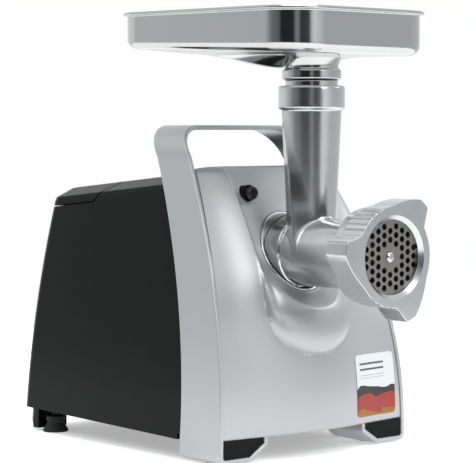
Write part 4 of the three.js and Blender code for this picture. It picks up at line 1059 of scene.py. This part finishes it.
def head_field(x, y, z):
    """Cast head: barrel and feed tube run together in a fillet, hollow inside."""
    z = z - auger_height
    radius = np.hypot(x, z)
    barrel = outline_distance(
        radius,
        y,
        [
            (past_axis, cup_front), (cup_radius, cup_front), (cup_radius, cup_front + 15),
            (barrel_radius + 1.5, cup_front + 23), (barrel_radius, cup_front + 32),
            (barrel_radius, flange_front - rim_length), (rim_radius, flange_front - rim_length),
            (rim_radius, flange_back), (spigot_radius, flange_back), (spigot_radius, spigot_back),
            (past_axis, spigot_back),
        ],
    )
    from_feed = np.hypot(x, y - feed_y)
    cone = feed_low_radius + (feed_top_radius - feed_low_radius) * (z - 12) / (collar_bottom - 12)
    climb = np.clip((z - 5) / (collar_bottom - 12), 0, 1)
    # The tube's side edges start wide and to the front; as they climb they close in and move back.
    keel_x = 25.6 - 5.1 * climb
    keel_y = feed_y - 8.7 + 16.9 * climb
    tube = keeled(np.abs(x), y - feed_y, cone, keel_x, keel_y - feed_y, 0.8)
    tube = np.maximum(tube, np.maximum(4 - z, z - collar_bottom - 1))
    spine_half_width, spine_half_depth = 3.2, 5.5
    spine = np.maximum(np.abs(x) - spine_half_width, np.abs(y - 22 + 0.05 * z) - spine_half_depth)
    spine = np.maximum(spine, np.maximum(10 - z, z - 78))
    body = blended(barrel, blended(tube, spine, 4.0), 2.6)
    chamfer = 1.2
    collar = outline_distance(
        from_feed,
        z,
        [
            (past_axis, collar_bottom), (collar_radius - chamfer, collar_bottom),
            (collar_radius, collar_bottom + chamfer), (collar_radius, collar_top - chamfer),
            (collar_radius - chamfer, collar_top), (past_axis, collar_top),
        ],
    )
    body = blended(body, collar, 1.0)
    bore = outline_distance(
        radius,
        y,
        [
            (past_axis, cup_front - 9), (disc_bore_radius, cup_front - 9), (disc_bore_radius, auger_front),
            (bore_radius, auger_front + 2), (bore_radius, flange_front - 1),
            (spigot_bore_radius, flange_front - 1), (spigot_bore_radius, spigot_back + 9),
            (past_axis, spigot_back + 9),
        ],
    )
    narrowing = neck_radius - 1.2 - (collar_bottom - z) * 0.025
    throat = from_feed - np.where(z > collar_top - seat_depth, neck_radius + gap, narrowing)
    throat = np.maximum(throat, -z)
    return without(without(body, bore), throat)


head = field_skin(
    "cast_mincer_head",
    head_field,
    (-36, cup_front - 2, auger_height - 36),
    (36, spigot_back + 2, auger_height + collar_top + 2),
    1.0,
)
finished(head, "cast_aluminium", "mincer_head", "mincer_head", 60)

# ---------------------------------------------------------------- locking ring

ring_radius = 38.0
lobe_radius = 50.8
lobe_angle = 51.0
lobe_half = 5.3
lobe_steep = 12.7
lobe_gentle = 40.0
lobe_depth = 21.6
lip = 4.5
mouth = 28.0
lobe_hollow = 1.4
rib_pitch = 1.7
rib_depth = 0.45
flute_pitch = 6.2
flute_depth = 0.7
edge_rounding = 0.7
sleeve_radius = 36.5


def lobed_outlines():
    """Plain and ribbed outline in even steps: three lobes with hollow flanks, ribs on each steep one."""
    offsets = np.linspace(-60, 60, 4801)[:-1]
    away = np.abs(offsets)
    flank = np.where(offsets < 0, lobe_steep, lobe_gentle)
    down = np.clip((away - lobe_half) / flank, 0, 1)
    reach = ring_radius + (lobe_radius - ring_radius) * (1 - down) ** lobe_hollow
    tip = lobe_radius * math.cos(math.radians(lobe_half)) / np.cos(np.radians(np.minimum(away, lobe_half)))
    reach = np.where(away < lobe_half, tip, reach)
    angles = np.radians(offsets + lobe_angle)
    third = np.stack([reach * np.cos(angles), reach * np.sin(angles)], 1)
    length = np.concatenate([[0], np.cumsum(np.linalg.norm(np.diff(third, axis=0), axis=1))])
    steps = np.linspace(0, length[-1], 290)[:-1]
    third = np.stack([np.interp(steps, length, third[:, n]) for n in (0, 1)], 1)
    offsets = np.interp(steps, length, offsets)
    turns = [(math.cos(math.radians(120 * n)), math.sin(math.radians(120 * n))) for n in (0, 1, 2)]
    plain = np.concatenate([np.stack([third @ (c, -s), third @ (s, c)], 1) for c, s in turns])
    for _ in range(10):
        plain = (np.roll(plain, 1, axis=0) + 2 * plain + np.roll(plain, -1, axis=0)) / 4
    heading = np.roll(plain, -1, axis=0) - np.roll(plain, 1, axis=0)
    heading /= np.linalg.norm(heading, axis=1, keepdims=True)
    away_from_axis = np.stack([heading[:, 1], -heading[:, 0]], 1)
    ribbed = smooth(-offsets, lobe_half + 0.6, lobe_half + 1.4)
    ribbed *= 1 - smooth(-offsets, lobe_half + 10, lobe_half + 13)
    fluted = 1 - smooth(np.abs(np.mod(offsets, 120) - 78), 18, 22)
    wave = rib_depth * ribbed * np.cos(steps * 2 * math.pi / rib_pitch)
    wave -= flute_depth * fluted * (1 - np.abs(np.cos(steps * math.pi / flute_pitch)))
    return plain, away_from_axis, np.tile(wave, 3)[:, None]


def screw_ring():
    """Lobed front with ribs that fade towards its rounded edges, a sleeve behind and a stepped bore."""
    plain, away_from_axis, wave = lobed_outlines()
    edge = [(edge_rounding, 0.0), (0.35, 0.08), (0.1, 0.32), (0.0, edge_rounding)]
    levels = [(inset, ring_front + rise) for inset, rise in edge]
    levels += [(0.0, ring_front + lobe_depth * share) for share in (0.3, 0.6, 0.9)]
    levels += [(inset, ring_front + lobe_depth - rise) for inset, rise in edge[::-1]]
    rings = []
    for inset, y in levels:
        line = plain + away_from_axis * (wave * (1 - inset / edge_rounding) - inset)
        rings.append(np.stack([line[:, 0], np.full(len(line), y), line[:, 1] + auger_height], 1))
    lobes = loft("three_lobed_screw_ring", rings)
    rear = ring_front + ring_depth
    front = ring_front + 9
    sleeve = [(0, front, 0), (sleeve_radius, front, 0), (sleeve_radius, rear, 0.8), (0, rear, 0)]
    carved(lobes, turned("sleeve", rounded_line(sleeve, 4), on_axis, "y", 96), operation="UNION")
    bore = rounded_line(
        [
            (0, ring_front - 5, 0), (mouth + 6.8, ring_front - 5, 0), (mouth + 3.3, ring_front, 0.5),
            (mouth + 0.6, ring_front + 2.3, 0.5), (mouth, ring_front + 2.9, 0.3),
            (mouth, ring_front + lip, 0), (cup_radius + gap, ring_front + lip, 0.2),
            (cup_radius + gap, rear + 5, 0), (0, rear + 5, 0),
        ],
        4,
    )
    return carved(lobes, turned("bore", bore, on_axis, "y", 120))


finished(screw_ring(), "cast_aluminium", "screw_ring", "screw_ring", 28)

# ---------------------------------------------------------------- perforated disc

hole_columns = [[2, 3], [1.5, 2.5, 3.5], [0, 1, 2, 3], [0.5, 1.5, 2.5], [0, 1]]
column_spacing = 6.2
hole_pitch = 6.5
hole_size = 4.7


def group_input(tree, name, kind, value):
    socket = tree.interface.new_socket(name, in_out="INPUT", socket_type=kind)
    socket.default_value = value
    return socket.identifier


def perforated_disc():
    """Steel disc with its holes cut by cylinders that stand on a pattern of points."""
    spots = set()
    for column, rows in enumerate(hole_columns):
        for row in rows:
            for sx in (-1, 1):
                for sz in (-1, 1):
                    spots.add((sx * column * column_spacing, sz * row * hole_pitch))
    middle = (disc_low[1] + disc_high[1]) / 2 - front_y
    thickness = disc_high[1] - disc_low[1]
    points = [(x, middle, auger_height + z) for x, z in sorted(spots)]
    plate = made("perforated_steel_disc", points, [])
    tree = bpy.data.node_groups.new("perforated_disc", "GeometryNodeTree")
    tree.interface.new_socket("Hole centres", in_out="INPUT", socket_type="NodeSocketGeometry")
    size_id = group_input(tree, "Hole diameter", "NodeSocketFloat", 0.0)
    radius_id = group_input(tree, "Disc radius", "NodeSocketFloat", 0.0)
    depth_id = group_input(tree, "Disc thickness", "NodeSocketFloat", 0.0)
    place_id = group_input(tree, "Disc centre", "NodeSocketVector", (0, 0, 0))
    tree.interface.new_socket("Disc", in_out="OUTPUT", socket_type="NodeSocketGeometry")
    given = node(tree, "NodeGroupInput").outputs
    half, deeper = (
        node(tree, "ShaderNodeMath", {0: given[size], 1: share}, operation="MULTIPLY").outputs[0]
        for size, share in (("Hole diameter", 0.5), ("Disc thickness", 2.0))
    )
    drill = node(tree, "GeometryNodeMeshCylinder", {"Vertices": 28, "Radius": half, "Depth": deeper})
    drills = node(
        tree,
        "GeometryNodeInstanceOnPoints",
        {
            "Points": given["Hole centres"],
            "Instance": drill.outputs["Mesh"],
            "Rotation": (math.pi / 2, 0, 0),
        },
    )
    solid_drills = node(tree, "GeometryNodeRealizeInstances", {"Geometry": drills.outputs["Instances"]})
    blank = node(
        tree,
        "GeometryNodeMeshCylinder",
        {"Vertices": 128, "Radius": given["Disc radius"], "Depth": given["Disc thickness"]},
    )
    stood = node(
        tree,
        "GeometryNodeTransform",
        {
            "Geometry": blank.outputs["Mesh"],
            "Rotation": (math.pi / 2, 0, 0),
            "Translation": given["Disc centre"],
        },
    )
    pierced = node(
        tree,
        "GeometryNodeMeshBoolean",
        {"Mesh 1": stood.outputs["Geometry"], "Mesh 2": solid_drills.outputs["Geometry"]},
        operation="DIFFERENCE",
    )
    coated = node(
        tree,
        "GeometryNodeSetMaterial",
        {"Geometry": pierced.outputs["Mesh"], "Material": finishes["tool_steel"]},
    )
    whole = node(tree, "GeometryNodeRealizeInstances", {"Geometry": coated.outputs["Geometry"]})
    node(tree, "NodeGroupOutput", {"Disc": whole.outputs["Geometry"]})
    pattern = plate.modifiers.new("perforate", "NODES")
    pattern.node_group = tree
    pattern[size_id] = hole_size * MM
    pattern[radius_id] = (disc_high[0] - disc_low[0]) / 2 * MM
    pattern[depth_id] = thickness * MM
    pattern[place_id] = (0.0, (middle + front_y) * MM, auger_height * MM)
    settled(plate)
    pin_hole = rod("pin_hole", 4.3, -100, 0, on_axis, 40)
    return carved(plate, pin_hole)


finished(perforated_disc(), "tool_steel", "perforated_disc", "perforated_disc")

# ---------------------------------------------------------------- auger


def auger():
    """Core with one helical flight, square and domed pin in front, hexagon behind."""
    tip = span("auger")[0][1] - front_y
    start, stop = auger_front + 0.3, 25.0
    pitch, core, crest = 30.0, 8.0, 22.6
    sides, steps = 56, 190
    rings = []
    for i in range(steps + 1):
        y = start + (stop - start) * i / steps
        fade = smooth(y, start - 4, start + 8) * (1 - smooth(y, stop - 8, stop + 2))
        angles = np.arange(sides) * 2 * math.pi / sides
        phase = (angles / (2 * math.pi) + y / pitch + 100) % 1
        height = np.maximum(0, 1 - np.abs(phase - 0.5) * 4.2)
        radius = core + (crest - core) * smooth(height, 0, 0.8) * (0.25 + 0.75 * fade)
        ring = np.stack([radius * np.cos(angles), np.full(sides, y), radius * np.sin(angles)], 1)
        rings.append(ring + on_axis)
    screw = loft("screw", rings)
    domed = [
        (0, tip - 0.9, 0), (2.6, tip - 0.7, 1.5), (4, tip + 0.3, 0.6), (4, tip + 12, 0), (0, tip + 12, 0),
    ]
    pin = turned("pin", rounded_line(domed, 4), on_axis, "y", 40)
    square = [(-4.6, -4.6), (4.6, -4.6), (4.6, 4.6), (-4.6, 4.6)]
    square = block("square", [(x, z + auger_height) for x, z in square], start - 6.5, start + 3, 0.4)
    tang = [(0, stop - 2), (6, stop - 2), (6, stop + 8), (0, stop + 8)]
    hexagon = turned("hexagon", tang, on_axis, "y", 6)
    return joined("helical_auger", [screw, pin, square, hexagon])


finished(auger(), "cast_aluminium", "auger_drive", "auger", 40)

# ---------------------------------------------------------------- feed tray


def feed_tray():
    """Pressed tray: rolled rim, straight wall, a floor that falls to a chute, and a beaded neck."""
    half_x, half_y, centre_y = 78.6, 112.2, 53.1
    rim, tilt, floor, floor_rise, drop, neck_top = 343.0, 0.013, 308.0, 0.03, 8.0, 306.0
    neck_low = span("feed_tray")[0][2]
    corner, sheet_metal, roll, base_round = 36.0, 1.0, 3.3, 9.0
    per_corner = 20

    def ring(a, b, radius, z, share, chute=0.0):
        plan = rounded_ring(a, b, radius, per_corner)
        y = centre_y + (feed_y - centre_y) * share + plan[:, 1]
        rearward = smooth(plan[:, 1] / b, -0.6, 0.6)
        low = np.clip((rim - 3 - z) / (rim - 3 - floor), 0, 1)
        z = z + floor_rise * (y - centre_y + half_y) * (1 - share) * low + tilt * (y - feed_y) * (1 - share)
        return np.stack([plan[:, 0], y, z - drop * chute * rearward], 1)

    def wall(inset, z):
        return ring(half_x - inset, half_y - inset, corner - inset * 0.8, z, 0)

    def neck(radius, z):
        plan = rounded_ring(radius, radius, radius, per_corner)
        return np.stack([plan[:, 0], feed_y + plan[:, 1], np.full(len(plan), float(z))], 1)

    def dish(share, lift):
        a = half_x - roll - base_round
        b = half_y - roll - base_round
        radius = corner - (roll + base_round) * 0.8
        chute = float(smooth(share, 0.42, 1.0))
        z = floor - 1.6 * share + lift
        target = 22.0
        a, b, radius = (size + (target - size) * share for size in (a, b, radius))
        return ring(a, b, radius, z, share, chute)

    outside = rounded_line(
        [
            (0.2, rim - 1.4, 0), (0.2, rim - 2.6, 0.8), (roll, rim - 3.3, 1.0),
            (roll, floor, base_round - 0.5), (roll + base_round + 2, floor, 0),
        ],
        8,
    )[:-1]
    inside = rounded_line(
        [
            (roll + base_round + 2, floor + sheet_metal, 0),
            (roll + sheet_metal, floor + sheet_metal, base_round - 1.5),
            (roll + sheet_metal, rim - 0.9, 2.2), (0.9, rim, 0.9), (0.0, rim - 1.4, 0),
        ],
        8,
    )[1:]
    bead = rounded_line(
        [
            (20.9, neck_top - 4.6, 0), (20.8, neck_top - 7.6, 1.0), (22.9, neck_top - 9.2, 1.4),
            (22.9, neck_top - 15.4, 1.4), (neck_radius, neck_top - 17.4, 0.8), (neck_radius, neck_low, 0.3),
            (neck_radius - sheet_metal, neck_low, 0.3), (neck_radius - sheet_metal, neck_top - 4, 0),
        ],
        5,
    )
    shares = np.linspace(0.04, 0.985, 26)
    rings = [wall(inset, z) for inset, z in outside]
    rings += [dish(share, 0) for share in shares]
    rings += [neck(radius, z) for radius, z in bead]
    rings += [dish(share, sheet_metal) for share in shares[::-1]]
    rings += [wall(inset, z) for inset, z in inside]
    return loft("polished_feed_tray", rings, closed=True)


finished(feed_tray(), "polished_steel", "feed_tray", "feed_tray", 40)

# ---------------------------------------------------------------- label


def label():
    """Thin sticker that follows the fascia, trimmed to its round-cornered outline."""
    low, high = span("label_plate")
    outline = rounded_ring((high[0] - low[0]) / 2, (high[2] - low[2]) / 2, 3.4, 8)
    outline = outline + ((high[0] + low[0]) / 2, (high[2] + low[2]) / 2)

    def place(u, v):
        return low[0] + u * (high[0] - low[0]), low[2] + v * (high[2] - low[2])

    front, back = behind(fascia_face, -0.45), behind(fascia_face, -0.05)
    sticker = between("printed_sticker", 24, 24, place, front, back)
    trim = loft("trim", [[(x, y, z) for x, z in outline] for y in (-30, 30)])
    return carved(sticker, trim, operation="INTERSECT")


finished(label(), "label_paper", "base_unit", "label_plate")

# ---------------------------------------------------------------- stage, light and camera


def stage():
    """Pale matt floor, small enough that the polished metal mirrors the room and not the floor."""
    bpy.ops.mesh.primitive_circle_add(vertices=96, radius=0.95, fill_type="NGON", location=(0, 0, 0))
    floor = bpy.context.object
    floor.name = "studio_floor"
    glow = {"Emission_Color": (1, 1, 1, 1), "Emission_Strength": 0.38}
    material = new_material("pale_matt_floor", "#FAFAFA", 0.0, 0.9, **glow)[0]
    floor.data.materials.append(material)


def soft_light(name, azimuth, elevation, distance, width, height, power, aim=(0, 0, 0.16)):
    """A softbox at an angle round the machine, facing it; azimuth 0 is straight in front."""
    a, e = math.radians(azimuth), math.radians(elevation)
    lamp = bpy.data.lights.new(name, "AREA")
    lamp.shape = "RECTANGLE"
    lamp.size, lamp.size_y = width, height
    lamp.energy = power
    holder = bpy.data.objects.new(name, lamp)
    back = np.array([math.sin(a) * math.cos(e), -math.cos(a) * math.cos(e), math.sin(e)])
    holder.location = np.array(aim) + back * distance
    holder.rotation_euler = (math.pi / 2 - e, 0, a)
    bpy.context.scene.collection.objects.link(holder)


# Share of a turn from -Y through -X and +X, and the room's tone there.
room_tones = [
    (0.0, "#F2F4F6"), (0.018, "#D0D2D4"), (0.030, "#4A4C4E"), (0.095, "#3C3E40"), (0.108, "#9A9C9E"),
    (0.128, "#9A9C9E"), (0.142, "#2C2D2F"), (0.235, "#2E3032"), (0.250, "#74787B"), (0.310, "#868A8D"),
    (0.335, "#B4B8BB"), (0.365, "#D4D6D8"), (0.392, "#DEE0E2"), (0.42, "#FFFFFF"), (0.62, "#FFFFFF"),
    (0.76, "#DCDEE0"), (0.90, "#D2D4D6"), (0.955, "#F2F4F6"), (1.0, "#F2F4F6"),
]


def world():
    """A white sweep seen by the lens; the metal mirrors a room that is darker towards the lens's side."""
    studio = bpy.data.worlds.new("studio")
    bpy.context.scene.world = studio
    studio.use_nodes = True
    tree = studio.node_tree
    tree.nodes.clear()
    where = node(tree, "ShaderNodeTexCoord").outputs["Generated"]
    split = node(tree, "ShaderNodeSeparateXYZ", {"Vector": where})
    heading = node(
        tree, "ShaderNodeMath", {0: split.outputs["X"], 1: split.outputs["Y"]}, operation="ARCTAN2"
    ).outputs[0]
    turned_to = node(
        tree, "ShaderNodeMapRange", {"Value": heading, "From Min": -math.pi, "From Max": math.pi}
    )
    room = node(tree, "ShaderNodeValToRGB", {"Fac": turned_to.outputs["Result"]})
    ramp = room.color_ramp
    for place, code in room_tones:
        stop = ramp.elements.new(place)
        stop.color = shade(code)
    ramp.elements.remove(ramp.elements[0])
    ramp.elements.remove(ramp.elements[-1])
    lift = node(
        tree, "ShaderNodeMapRange", {"Value": split.outputs["Z"], "From Min": 0.25, "From Max": 0.75}
    ).outputs["Result"]
    sky = node(
        tree,
        "ShaderNodeMix",
        {"Factor": lift, "A": room.outputs["Color"], "B": shade("#F4F6F8")},
        data_type="RGBA",
    )
    seen = node(tree, "ShaderNodeLightPath").outputs["Is Camera Ray"]
    mix = node(
        tree,
        "ShaderNodeMix",
        {"Factor": seen, "A": sky.outputs["Result"], "B": (1, 1, 1, 1)},
        data_type="RGBA",
    )
    back = node(tree, "ShaderNodeBackground", {"Color": mix.outputs["Result"], "Strength": 1.0})
    node(tree, "ShaderNodeOutputWorld", {"Surface": back.outputs["Background"]})


def camera():
    """A long lens at the photograph's angle, a little above the floor and left of the machine's front."""
    azimuth, elevation = math.radians(-41.107), math.radians(2.896)
    distance, across, up_shift = 1508.6, -61.2, 172.6
    back = np.array(
        [
            math.sin(azimuth) * math.cos(elevation),
            -math.cos(azimuth) * math.cos(elevation),
            math.sin(elevation),
        ]
    )
    right = np.cross(-back, (0, 0, 1))
    right /= np.linalg.norm(right)
    up = np.cross(right, -back)
    spot = back * distance + right * across + up * up_shift + (0, front_y, 0)
    lens = bpy.data.cameras.new("camera")
    lens.sensor_width = 36
    lens.lens = 147.27
    lens.clip_start, lens.clip_end = 0.05, 30
    holder = bpy.data.objects.new("camera", lens)
    holder.location = spot * MM
    holder.rotation_euler = (math.pi / 2 - elevation, 0, azimuth)
    bpy.context.scene.collection.objects.link(holder)
    bpy.context.scene.camera = holder


stage()
world()
camera()
bpy.context.scene.view_settings.view_transform = "Standard"
soft_light("front_softbox", 0, 40, 1.9, 0.5, 2.0, 16)
soft_light("right_softbox", 62, 26, 1.9, 0.45, 0.45, 3.5)
soft_light("side_softbox", -118, 40, 2.2, 1.2, 1.2, 6.5)
soft_light("top_softbox", -20, 84, 1.9, 1.6, 1.6, 12)
